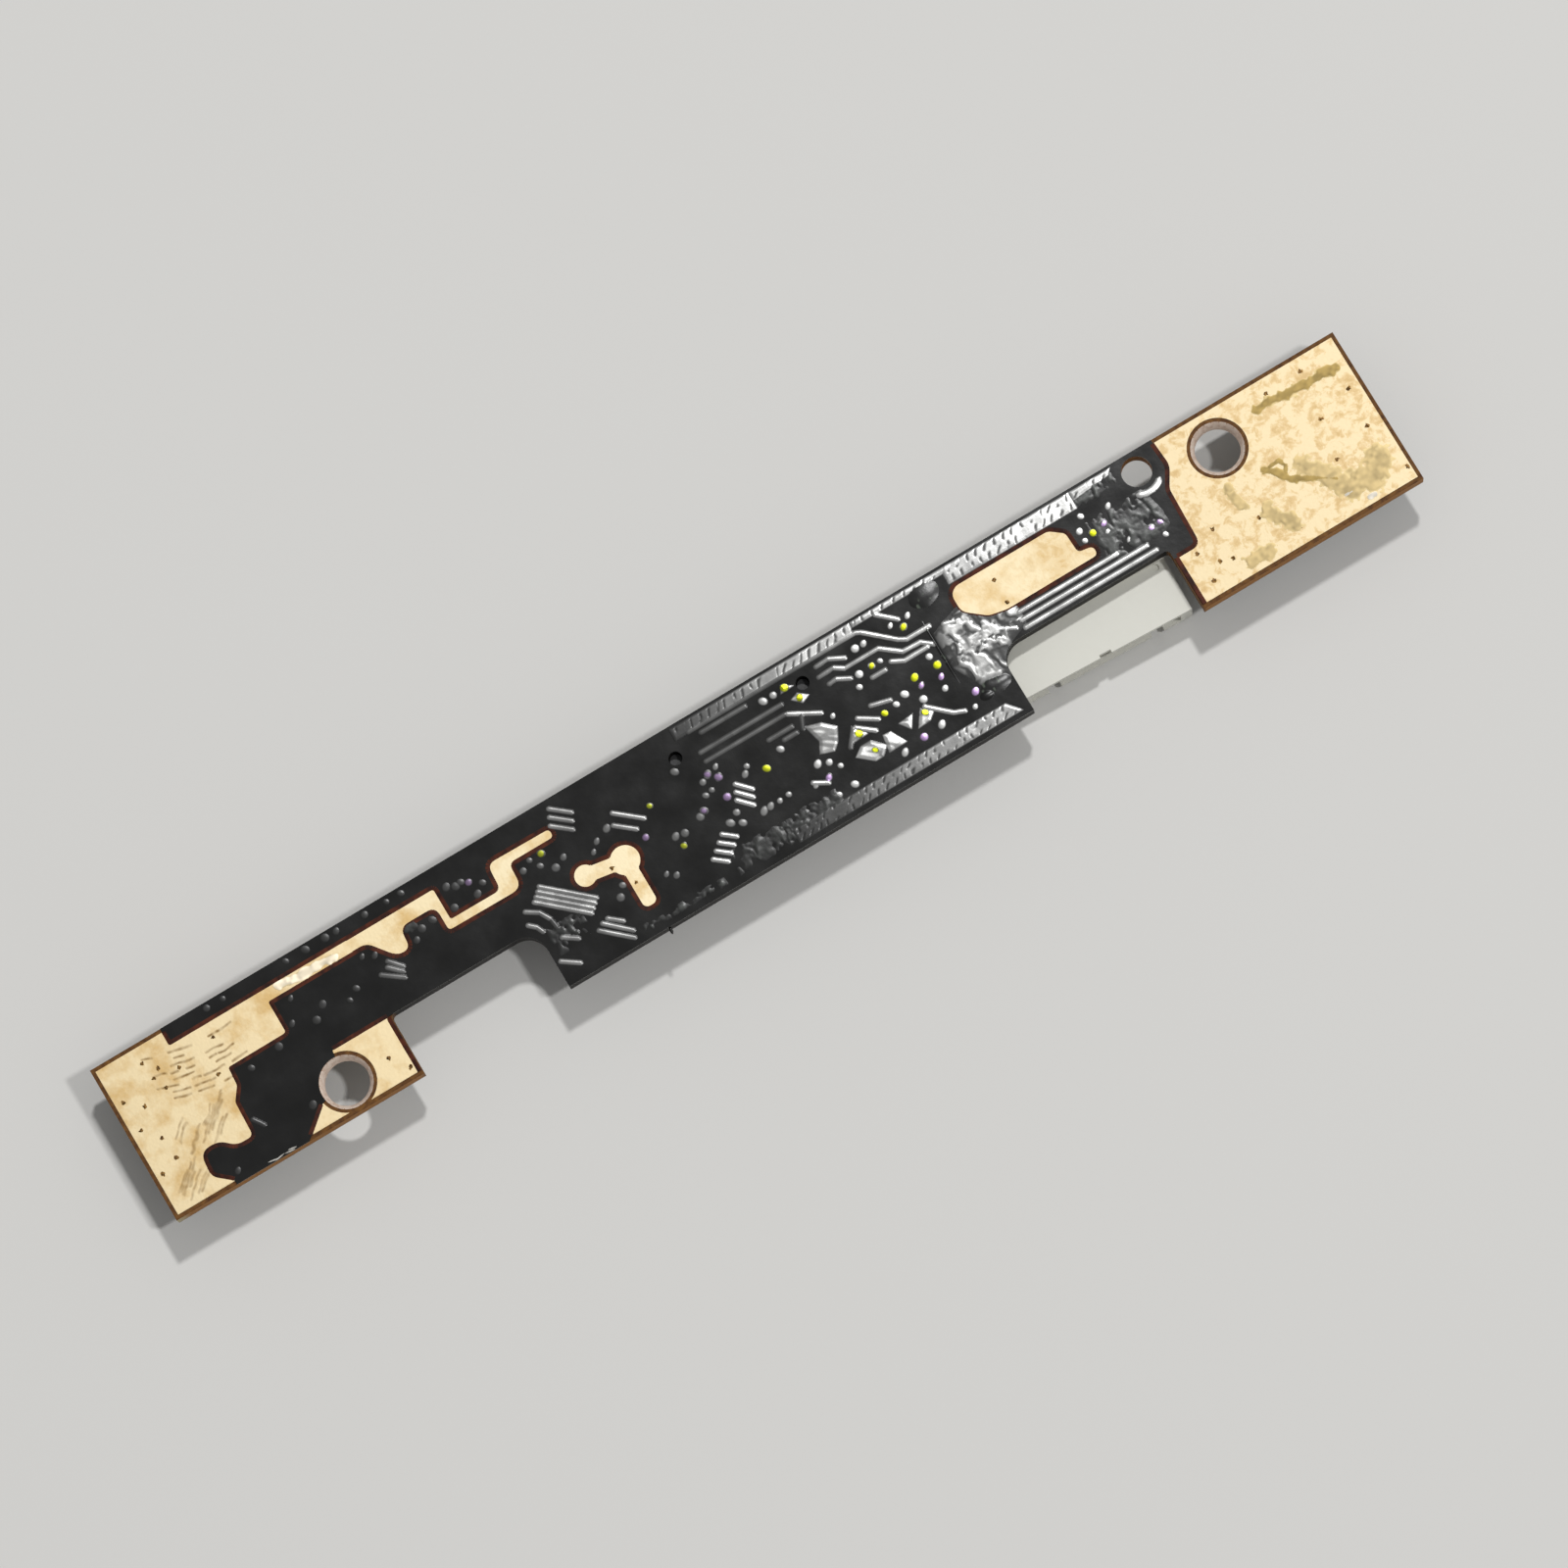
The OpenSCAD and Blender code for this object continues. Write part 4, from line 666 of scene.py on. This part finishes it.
# %% Roofs over pours
POURS = {
    BODY: [
        [[0.67, 0.29], [0.69, 0.335], [0.712, 0.335], [0.735, 0.26], [0.718, 0.21], [0.7, 0.21]],
        [[0.735, 0.325], [0.752, 0.32], [0.77, 0.215], [0.728, 0.21]],
        [
            [0.618, 0.6], [0.65, 0.57], [0.674, 0.5], [0.66, 0.42],
            [0.645, 0.38], [0.616, 0.41], [0.628, 0.48],
        ],
        [[0.82, 0.35], [0.797, 0.245], [0.826, 0.25], [0.842, 0.29]],
        [[0.77, 0.335], [0.806, 0.345], [0.788, 0.26]],
        [[0.676, 0.365], [0.694, 0.465], [0.716, 0.37]],
        [[0.612, 0.825], [0.62, 0.88], [0.645, 0.83]],
        [[0.622, 0.77], [0.64, 0.79], [0.66, 0.74], [0.64, 0.715]],
    ],
}
ROOF_W = 0.16
streaks = lumps(1.3 * field_x + 1.8 * field_y, 0.4 * field_x - 0.3 * field_y, 0.3, 13)
pour_gleam = 0.85 * uneven * (0.4 + 0.6 * ease(streaks, 0.3, 0.6))
for section, outlines in POURS.items():
    for outline in outlines:
        roof = np.clip(inside_outline(spot(section, outline)) / ROOF_W, -1, 1)
        lay(RELIEF_H * roof, pour_gleam * ease(roof, 0, 0.5))
show("pours")

# %% [markdown]
# ## Domes over vias
# A tented via is a flat dome. No two are quite alike, so each leans and swells by its number. Its gleam
# grows towards the right end as a painted highlight of the lamp's glare, and a painted coloured glint only
# tints the dome that is there.

# %% Domes over vias
VIA_D, VIA_H = 0.33, 0.014
# Painted highlight: the vias' gleam rises towards the right end, as the lamp's glare does.
via_glare_ramp = uneven * (0.03 + 0.12 * ease(field_x, -16, -6) + 0.65 * ease(field_x, -4, 7))
# Places, colour, and what a painted coloured glint adds to the gleam.
VIA_ROWS = [(VIAS, SILVER, 0), (YELLOW_GLINT_VIAS, YELLOW, 0.35), (VIOLET_GLINT_VIAS, VIOLET, 0.3)]
for sections, colour, glint_boost in VIA_ROWS:
    for section, centres in sections.items():
        for index, centre in enumerate(spot(section, centres)):
            lean = 0.6 * math.sin(7 * index)
            wide = VIA_D * (1 + 0.2 * math.sin(5 * index))
            across, up = field_x - centre[0], field_y - centre[1]
            crest = 1 - (2 / wide) ** 2 * (across**2 + up**2 + lean * across * up)
            lay(VIA_H * crest, (via_glare_ramp + glint_boost) * ease(crest, 0, 0.7), colour, film=colour != SILVER)
show("vias")

# %% [markdown]
# ## Stitched strips
# Five strips of copper along the edges are crossed by slanting gaps in a row, like stitches. The
# lacquer sinks into the gaps and stays dark there.

# %% Stitched strips
GAP_SLANT = 1 / math.tan(math.radians(60))
GAP_HALF, GAP_BANK, WANDER, STRIP_SLOPE = 0.02, 0.09, 0.25, 0.1
# Section, outline, pitch of the gaps in mm, rows of gaps, gleam at the left and at the right end; its rise
# to the right is a painted highlight of the lamp's glare.
STRIPS = [
    (BODY, [[0.4, 0.905], [0.4, 0.985], [0.79, 0.985], [0.79, 0.905]], 0.42, 1, 0.05, 0.64),
    (BODY, [[0.79, 0.945], [0.79, 0.985], [1.03, 0.985], [1.03, 0.945]], 0.5, 1, 0.55, 0.8),
    (BODY, [[0.5, 0.03], [0.5, 0.12], [0.96, 0.12], [0.985, 0.03]], 0.42, 2, 0.03, 0.5),
    (RIGHT_NECK, [[-0.04, 0.79], [-0.04, 0.975], [0.72, 0.975], [0.72, 0.79]], 0.45, 2, 0.5, 0.85),
    (RIGHT_NECK, [[0.72, 0.87], [0.72, 0.975], [0.97, 0.975], [0.94, 0.91]], 0.45, 1, 0.6, 0.8),
]
for section, outline, pitch, rows, dim, bright in STRIPS:
    corners = spot(section, outline)
    (left, bottom), (right, top) = corners.min(0), corners.max(0)
    row, up = np.divmod(rows * (field_y - bottom) / (top - bottom), 1)
    wave = WANDER * (coarse - 0.5)
    across = np.mod((field_x + wave - GAP_SLANT * (field_y - bottom)) / pitch + 0.5 * row, 1)
    gap = 1 - ease(np.abs(across - 0.5) * pitch, GAP_HALF, GAP_BANK)
    gap = gap * ease(0.5 - np.abs(up - 0.5), 0.08, 0.25) * ease(coarse, 0.2, 0.4)
    plate = np.clip(inside_outline(corners) / STRIP_SLOPE, -1, 1)
    # Painted highlight: the gleam grows from the strip's left end to its right end.
    gleam = uneven * (dim + (bright - dim) * ease(field_x, left, right - 1))
    lay(RELIEF_H * (0.7 * plate - 0.4 * gap * (plate > 0)), gleam * ease(plate, 0, 0.6) * (1 - 0.85 * gap))
show("strips")

# %% [markdown]
# ## Scraped patch and blots
# Beside the connector the lacquer was scraped and reflowed into a pale mottled patch, and blots of lacquer
# dried as black lumps round it, with painted greenish-grey highlights on them.

# %% Scraped patch and blots
SCAR = [
    [9.6, 1.3], [11.2, 1.9], [12.3, 1.0], [13.2, 0.5], [13.2, -0.3],
    [12.2, -0.7], [11.5, -1.9], [10.2, -1.6], [9.6, -0.4],
]
swirl = lumps(field_x + 0.5 * coarse, 0.55 * field_y + 0.3 * fine, 0.26, 9)
patch = ease(inside_outline(np.array(SCAR)), -0.15, 0.3)
lay(RELIEF_H * (patch * (0.5 + 0.9 * swirl) - 0.1), patch * (0.06 + 0.6 * ease(swirl, 0.35, 0.8)))
# The greenish-grey specks on each blot are painted highlights.
BLOT_H, BLOT_HIGHLIGHT = 0.06, "#A9B8A4"
# Middle, half width and half height in mm.
BLOTS = [
    (10.05, 3.05, 0.7, 0.55),
    (10.8, -1.95, 0.7, 0.4),
    (10.2, -2.15, 0.35, 0.2),
    (9.42, 0.4, 0.07, 1.6),
]
for x, y, wide, tall in BLOTS:
    blot = 1 - ((field_x - x) / wide) ** 2 - ((field_y - y) / tall) ** 2 + 0.5 * (coarse - 0.5)
    lay(BLOT_H * blot, 0.25 * ease(fine, 0.75, 0.95), BLOT_HIGHLIGHT)
show("blots")

# %% [markdown]
# ## Rough patches
# In places the lacquer dried rough. Each patch is a rectangle with soft borders, from which only the tops
# of the lumps stand out, with painted grey glints on them.

# %% Rough patches
ROUGH_FLOOR = 0.45
# Left, right, lower and upper end in mm, and the gleam of the painted glints.
ROUGH_PATCHES = [
    (-7.8, -3.3, -3.65, -2.9, 0.3),
    (-11.4, -9.3, -2.6, -0.9, 0.12),
    (17.4, 20.9, -0.2, 2.3, 0.2),
    (-3.0, 2.8, -3.6, -2.1, 0.1),
    (-17.2, -15.6, 1.6, 2.7, 0.1),
    (17.3, 20.0, 2.6, 3.7, 0.3),
]
# Painted glints: the tops of the lumps get a grey metallic gleam.
for left, right, bottom, top, gleam in ROUGH_PATCHES:
    depth_x = np.minimum(field_x - left, right - field_x)
    depth_y = np.minimum(field_y - bottom, top - field_y)
    mound = ease(np.minimum(depth_x, depth_y), -0.1, 0.5) * (0.5 * fine + swirl)
    lay(0.8 * RELIEF_H * (mound - ROUGH_FLOOR), gleam * ease(mound, ROUGH_FLOOR, 1.1), GLINT_GREY)
show("rough patches")

# %% [markdown]
# ## Crescent at the tooling hole
# Lacquer ran together below the tooling hole and dried as a raised crescent. Its bright silver gleam is a
# painted highlight of the lamp's glare. It is a ridge along a circle, cut off at two angles.

# %% Crescent at the tooling hole
CRESCENT_R, CRESCENT_HALF = 1.03, 0.15
from_hole = field_x - TOOL_HOLE[0], field_y - TOOL_HOLE[1]
turn = np.mod(np.degrees(np.arctan2(from_hole[1], from_hole[0])), 360)
ridge = 1 - ((np.hypot(*from_hole) - CRESCENT_R) / CRESCENT_HALF) ** 2
ridge = ridge - 3 * (1 - ease(turn, 215, 250)) - 3 * ease(turn, 305, 335)
# Painted highlight: the ridge gets a nearly full silver gleam.
lay(RELIEF_H * ridge, 0.9 * np.clip(ridge, 0, 1) ** 0.5)
show("the crescent")

# %% [markdown]
# ## What lies under the field
# The relief may not hang over bare gold or over a hole. So the triangles of a solid are read, and
# the points of the field that lie over its upper faces are marked.


# %% What lies under the field
def read_triangles(solid):
    """The solid's points in mm, and the numbers of the three points of each triangle."""
    mesh = solid.data
    mesh.calc_loop_triangles()
    numbers = np.empty(3 * len(mesh.loop_triangles), int)
    mesh.loop_triangles.foreach_get("vertices", numbers)
    points = np.empty(3 * len(mesh.vertices))
    mesh.vertices.foreach_get("co", points)
    return points.reshape(-1, 3) / MM, numbers.reshape(-1, 3)


def upper_faces(solid):
    """Corner places in mm of the triangles that face straight up, as an array (count, 3, 3)."""
    points, numbers = read_triangles(solid)
    made = points[numbers]
    normals = np.cross(made[:, 1] - made[:, 0], made[:, 2] - made[:, 0])
    return made[normals[:, 2] > 0.99 * np.linalg.norm(normals, axis=1)]


def covered(triangles):
    """Which field points lie under the triangles seen from above, by three edge signs."""
    under = np.zeros(field_x.shape, bool)
    for corners in triangles[..., :2]:
        low, high = corners.min(0), corners.max(0)
        columns = slice(*np.searchsorted(field_x[0], [low[0], high[0]]))
        rows = slice(*np.searchsorted(field_y[:, 0], [low[1], high[1]]))
        x, y = field_x[rows, columns], field_y[rows, columns]
        within = np.ones(x.shape, bool)
        for p, q in zip(corners, np.roll(corners, -1, 0)):
            within &= (q[0] - p[0]) * (y - p[1]) - (q[1] - p[1]) * (x - p[0]) >= 0
        under[rows, columns] |= within
    return under


def whole_cells(points):
    """Which cells of the field have all four corners among the marked points."""
    return points[:-1, :-1] & points[:-1, 1:] & points[1:, :-1] & points[1:, 1:]


on_mask = covered(upper_faces(frame["nodes"]["back_mask"]))
print("share of the field over the mask", round(float(on_mask.mean()), 3))

# %% [markdown]
# ## The mask's relief as one skin
# Only cells that rise over the flat mask at one corner or more are kept. Together they stand in for
# the CAD's plain tracks.

# %% The mask's relief as one skin
risen = (height > 0) & on_mask
risen_cells = whole_cells(on_mask) & ~whole_cells(~risen)
field = np.stack([field_x, field_y, mask_top + height], -1)
relief = surface("mask_relief", field, lacquer, keep=risen_cells, lustre=tone)
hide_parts("back_tracks")

# %% [markdown]
# ## Outlines of the lands
# The outline of a land is the boundary of its top faces: the edges that belong to one triangle
# only. Where a land ends at the board's edge or at a screw hole, no mask laps on it.

# %% Outlines of the lands
TOP_SLACK, FROM_EDGE, FROM_HOLE = 0.005, 0.24, 1.5
land_tops = upper_faces(frame["nodes"]["back_copper"])
land_tops = land_tops[land_tops[..., 2].min(1) > gold_top - TOP_SLACK]
keys, ids = np.unique(np.round(land_tops[..., :2].reshape(-1, 2), 3), axis=0, return_inverse=True)
ids = ids.reshape(-1, 3)
edges = np.concatenate([ids[:, [0, 1]], ids[:, [1, 2]], ids[:, [2, 0]]])
lone = ~np.isin(edges @ [len(keys), 1], edges @ [1, len(keys)])
starts, ends = keys[edges[lone, 0]], keys[edges[lone, 1]]
halfway = 0.5 * (starts + ends)
part_of = np.clip(np.searchsorted(SECTION_ENDS, halfway[:, 0]) - 1, LEFT_TAB, RIGHT_TAB)
to_hole = np.min(np.linalg.norm(halfway[:, None] - np.stack([LEFT_HOLE, RIGHT_HOLE]), axis=-1), axis=1)
to_ends = np.minimum(halfway[:, 0] - board_low[0], board_high[0] - halfway[:, 0])
to_sides = np.minimum(halfway[:, 1] - SECTION_LOWS[part_of], board_high[1] - halfway[:, 1])
shown = (np.minimum(to_ends, to_sides) > FROM_EDGE) & (to_hole > FROM_HOLE)
starts, ends = starts[shown], ends[shown]
print("edges along the mask", len(starts))

# %% [markdown]
# ## Edge of the mask round the lands
# The lacquer thins out where it laps on a land, and copper and amber show through as a fine
# red-brown rim. Each edge of the outline carries a strip that falls from the mask to the gold.

# %% Edge of the mask round the lands
RIM_STOPS = [(0.35, "#2A0E06"), (0.65, "#56240E")]
lip = mottled("thin_solder_mask", "#3A1A0C", RIM_STOPS, 0.4, 2.0, Roughness=0.6, Specular_IOR_Level=0.2)
outward = np.stack([(ends - starts)[:, 1], -(ends - starts)[:, 0]], -1)
outward /= np.linalg.norm(outward, axis=1, keepdims=True)
# Across the rim, from the mask to the gold: reach outwards and height in mm.
LIP_REACH = np.array([0.15, 0.0, -0.05])
LIP_LEVELS = np.array([mask_top + 0.001, mask_top + 0.003, gold_top + 0.001])
runs = np.stack([starts, ends], 1)[:, None] + LIP_REACH[None, :, None, None] * outward[:, None, None]
rim_levels = np.broadcast_to(LIP_LEVELS[None, :, None, None], runs.shape[:3] + (1,))
surface("mask_rims", np.concatenate([runs, rim_levels], -1), lip)

# %% [markdown]
# ## Sleeves of the screw holes
# The holes were drilled and countersunk but never plated inside, so that the pale pinkish core of
# the board shows on the cone and the wall.

# %% Sleeves of the screw holes
CORE_STOPS = [(0.3, "#D2B8A6"), (0.6, "#EBDACB")]
core = mottled("drilled_epoxy", "#DFC9BA", CORE_STOPS, 0.2, 3.0, Roughness=0.55)
back_z, front_z = board_high[2], board_low[2]
CONE_R, WALL_R, CONE_DEEP, CLEAR = 1.18, 1.0, 0.25, 0.004
sleeve = [
    (CONE_R - CLEAR, back_z - 0.002),
    (WALL_R - CLEAR, back_z - CONE_DEEP),
    (WALL_R - CLEAR, front_z + 0.01),
]
surface("hole_sleeves", revolved(sleeve, [LEFT_HOLE, RIGHT_HOLE], 64), core)

# %% [markdown]
# ## Pits in the gold
# Small pits where the plating missed the nickel have tarnished to brown specks. Each is a tiny
# flat dome with an uneven outline.

# %% Pits in the gold
PIT_STOPS = [(0.3, "#4A2E12"), (0.7, "#9A7438")]
tarnish = mottled("tarnished_nickel", "#6B4A22", PIT_STOPS, 0.1, 2.0, Metallic=0.6, Roughness=0.5)
PITS = {
    LEFT_TAB: [
        [0.045, 0.74], [0.105, 0.66], [0.05, 0.55], [0.1, 0.45], [0.11, 0.31], [0.04, 0.27], [0.17, 0.88],
        [0.18, 0.77], [0.21, 0.81], [0.2, 0.69], [0.275, 0.75], [0.38, 0.6], [0.43, 0.8], [0.92, 0.175],
        [0.97, 0.07],
    ],
    BODY: [[0.18, 0.465], [0.205, 0.32]],
    RIGHT_NECK: [[0.17, 0.61], [0.17, 0.36]],
    RIGHT_TAB: [
        [0.09, 0.29], [0.15, 0.19], [0.09, 0.11], [0.19, 0.37], [0.2, 0.165], [0.37, 0.29],
        [0.49, 0.125], [0.62, 0.44], [0.75, 0.35], [0.78, 0.6], [0.935, 0.67], [0.92, 0.43],
        [0.97, 0.105], [0.65, 0.89], [0.81, 0.9],
    ],
}
rng = np.random.default_rng(11)
PIT_WOBBLE = 0.09
pit_centres = np.concatenate([spot(section, shares) for section, shares in PITS.items()])
# Radius and height of the dome in mm.
pit_profile = [(0.1, gold_top + 0.006), (0.06, gold_top + 0.009), (0.0, gold_top + 0.009)]
pits = revolved(pit_profile, pit_centres, 9)
pits[:, :2, :, :2] += PIT_WOBBLE * (rng.random(pits[:, :2, :, :2].shape) - 0.5)
pits[:, :, -1] = pits[:, :, 0]
surface("gold_pits", pits, tarnish)

# %% [markdown]
# ## Scuffed skin of the left land
# The left land was handled most. A tool chattered along it in curved rows of short grooves, and
# long slanting wrinkles run towards its lower corner. A groove is a dip of a few microns along a
# straight run, worn brown at its floor, and a row is curved by bending the field first.

# %% Scuffed skin of the left land
CHATTER_COUNT, CHATTER_ROWS, ROW_PITCH, BEND_X = 46, 8, 0.29, -27.4
chatter_x = rng.uniform(-29.0, -25.4, CHATTER_COUNT)
chatter_y = 0.55 + ROW_PITCH * rng.integers(0, CHATTER_ROWS, CHATTER_COUNT)
chatter = np.stack([chatter_x, chatter_y], -1)
chatter_to = chatter + rng.uniform(0.2, 0.75, (CHATTER_COUNT, 1)) * [1, 0.03]
bent = field_y + 0.2 * (field_x - BEND_X) - 0.05 * (field_x - BEND_X) ** 2 + 0.1 * (coarse - 0.5)
upper_wrinkles = rng.uniform([-29.3, -1.9], [-27.2, -0.5], (13, 2))
lower_wrinkles = rng.uniform([-30.4, -3.3], [-29.4, -2.6], (8, 2))
wrinkle = np.concatenate([upper_wrinkles, lower_wrinkles])
wrinkle_to = wrinkle + rng.uniform(0.5, 1.5, (len(wrinkle), 1)) * [0.72, 0.69]
# Starts, ends, bent field, half width in mm, share of the full depth.
GROOVES = [
    (chatter, chatter_to, bent, 0.07, 0.85),
    (wrinkle, wrinkle_to, field_y + 0.25 * (coarse - 0.5), 0.08, 0.55),
]
groove = np.zeros(field_x.shape)
for groove_from, groove_to, up, half_wide, deep in GROOVES:
    for a, b in zip(groove_from, groove_to):
        groove = np.maximum(groove, deep * (1 - (away_from_run(a, b, up) / half_wide) ** 2))
SKIN, GROOVE_DEEP, RIPPLE = 0.006, 0.004, 0.002
on_gold = covered(land_tops)
left_land = on_gold & (field_x < SECTION_ENDS[LEFT_TAB + 1])
skin_z = gold_top + SKIN - GROOVE_DEEP * groove + RIPPLE * (coarse - 0.5)
worn = np.repeat((0.7 * groove * (0.4 + 1.2 * fine))[..., None], 4, -1)
skin = np.stack([field_x, field_y, skin_z], -1)
surface("left_land_skin", skin, gold, keep=whole_cells(left_land), lustre=worn)

# %% [markdown]
# ## Films on the gold
# A gasket was peeled off the right land and left a film of its glue: olive where it is thick,
# darker at its rim, and thin enough for the gold to gleam through. Two pale flakes of it stick up.
# On the upper lane of the left land, and in a smaller spot on the left neck, a near-white metallic patch is
# a painted highlight of the lamp's glare.

# %% Films on the gold
film_finish, tree, shader = finish("dried_glue", "#A8985A", Roughness=0.5, IOR=1.48)
of_point = add(tree, "Attribute", attribute_name="lustre")
join(shader, {"Base Color": of_point.outputs["Color"], "Metallic": of_point.outputs["Alpha"]})
OLIVE, DULL_OLIVE, FLAKE, GLARE_WHITE = "#937D49", "#AE9A6E", "#F2EADA", "#E8DCC4"
THIN_FILM = "#BFAC80"
# Path in mm, reach in mm, colour, metallic share.
FILMS = [
    ([[26.5, 2.58], [28.4, 2.42], [30.3, 2.35]], 0.3, OLIVE, 0.75),
    ([[25.4, 0.12], [26.2, -0.87], [27.2, -1.4], [27.8, -1.85]], 0.24, OLIVE, 0.75),
    ([[26.9, -0.7], [27.5, -1.6], [28.1, -2.6]], 0.6, DULL_OLIVE, 0.75),
    ([[28.6, -2.4], [29.4, -2.5], [29.8, -2.0]], 0.75, DULL_OLIVE, 0.75),
    ([[23.6, 0.2], [23.7, -0.8]], 0.32, DULL_OLIVE, 0.75),
    ([[24.6, -1.5], [25.3, -2.7]], 0.42, DULL_OLIVE, 0.75),
    ([[22.8, -3.0], [23.7, -3.0]], 0.42, DULL_OLIVE, 0.75),
    ([[25.6, 0.1], [26.1, 0.15], [26.25, -0.2], [26.1, -0.5]], 0.12, OLIVE, 0.75),
    ([[28.6, -3.25], [28.85, -3.3]], 0.16, FLAKE, 0.0),
    ([[27.8, -2.66], [28.1, -2.66]], 0.12, FLAKE, 0.0),
    # The two near-white metallic patches are painted highlights of the lamp's glare.
    ([[-22.2, 2.7], [-21.2, 2.62], [-19.6, 2.58]], 0.26, GLARE_WHITE, 1.0),
    ([[-15.8, 1.6], [-15.5, 1.2]], 0.24, GLARE_WHITE, 1.0),
]
print("films", len(FILMS))

# %% [markdown]
# ## Films as one skin
# A film is thickest along its path and ends in a ragged rim. Where it thins out, its colour goes
# over into that of thinly covered gold.

# %% Films as one skin
RAGGEDNESS, RAGGED_MEAN = 1.1, 0.62
FILM_LIFT, FILM_H = 0.003, 0.006
ragged = 0.5 * fine + 0.5 * lumps(field_x, field_y, 0.3, 21)
thick = np.zeros(field_x.shape)
film_tone = np.zeros(field_x.shape + (4,))
for path, reach, colour, metallic in FILMS:
    places = np.array(path)
    near = np.min([away_from_run(a, b) for a, b in zip(places[:-1], places[1:])], axis=0)
    depth = 1 - near / reach + RAGGEDNESS * (ragged - RAGGED_MEAN)
    over = depth > thick
    thick[over] = depth[over]
    film_tone[over] = (*linear(colour)[:3], metallic)
film_tone[..., :3] *= (0.72 + 0.5 * fine)[..., None]
full = ease(thick, 0, 0.3)[..., None]
film_tone = full * film_tone + (1 - full) * np.array([*linear(THIN_FILM)[:3], 1.0])
film_z = gold_top + SKIN + FILM_LIFT + FILM_H * ease(thick, 0, 0.6)
film_cells = whole_cells((thick > 0) & on_gold)
film = np.stack([field_x, field_y, film_z], -1)
surface("gold_films", film, film_finish, keep=film_cells, lustre=film_tone)

# %% [markdown]
# ## Slivers at the edges
# The router tore a few glass fibres out of the left tab's edge, which lie there as white slivers,
# and left a dark burr on the body's edge.

# %% Slivers at the edges
STRAND_STOPS = [(0.35, "#A5A39C"), (0.65, "#CDCBC4")]
fibre_glass = mottled("torn_glass_fibre", "#B9B7B0", STRAND_STOPS, 0.1, 2.0, Roughness=0.5, IOR=1.5)
SLIVER_W, SLIVER_H = 0.06, 0.02
BURR_W, BURR_H, BURR_DROP = 0.14, 0.05, 0.15
way = np.linspace(0, 1, 9)[None, :, None]
torn = np.array([[-26.4, -3.62], [-26.1, -3.72], [-25.6, -3.66], [-25.4, -3.6]])[:, None]
torn_to = np.array([[-25.9, -3.7], [-25.6, -3.64], [-25.1, -3.72], [-25.0, -3.66]])[:, None]
slivers = ribbons(torn + way * (torn_to - torn), SLIVER_W, mask_top + 0.002, SLIVER_H)
surface("fibre_slivers", slivers, fibre_glass)
burr = np.array([[[-6.56, -3.7]]]) + way * np.array([[[-0.06, -0.36]]])
burr = ribbons(burr, BURR_W, board_high[2] - BURR_DROP, BURR_H)
surface("edge_burr", burr, mask)

# %% [markdown]
# ## Pads of the front
# Each pad of the lens side is one island of triangles. The islands are found by letting the lowest
# point number spread over every triangle until nothing changes.

# %% Pads of the front
pad_points, pad_triangles = read_triangles(frame["nodes"]["front_pads"])
pad_points, merged = np.unique(np.round(pad_points, 4), axis=0, return_inverse=True)
pad_triangles = merged.reshape(-1)[pad_triangles]
island = np.arange(len(pad_points))
settled = False
while not settled:
    reached = island.copy()
    np.minimum.at(reached, pad_triangles, island[pad_triangles].min(1)[:, None])
    settled = bool((reached == island).all())
    island = reached
pads, member = np.unique(island, return_inverse=True)
pad_low, pad_high = np.full((len(pads), 3), np.inf), np.full((len(pads), 3), -np.inf)
np.minimum.at(pad_low, member.reshape(-1), pad_points)
np.maximum.at(pad_high, member.reshape(-1), pad_points)
print("pads", len(pads))

# %% [markdown]
# ## Solder of the front
# Paste was printed on every pad and melted in an oven. Molten solder draws itself into a pillow
# that covers its pad and wets the lead on it. The large lands of the lens side get none.

# %% Solder of the front
LARGEST_PAD, SWELL_SHARE, HIGHEST = 1.6, 0.4, 0.07
small = (pad_high - pad_low)[:, :2].max(1) < LARGEST_PAD
pad_middle, pad_half = 0.5 * (pad_low + pad_high)[small], 0.5 * (pad_high - pad_low)[small]
v, u = np.meshgrid(np.linspace(-1, 1, 9), np.linspace(-1, 1, 9))
swell = np.sqrt((1 - u**4) * (1 - v**4))[None]
pillow_x = pad_middle[:, 0, None, None] + pad_half[:, 0, None, None] * u
pillow_y = pad_middle[:, 1, None, None] + pad_half[:, 1, None, None] * v
rise = np.minimum(SWELL_SHARE * pad_half[:, :2].min(1), HIGHEST)[:, None, None]
pillow_z = pad_low[small, 2, None, None] - rise * swell
pillows = np.stack([pillow_x, pillow_y, pillow_z], -1)
surface("solder_joints", pillows, FINISHES["solder"])

# %% [markdown]
# ## Picture settings
# The picture keeps the plain Standard view.

# %% Picture settings
bpy.context.scene.view_settings.view_transform = "Standard"
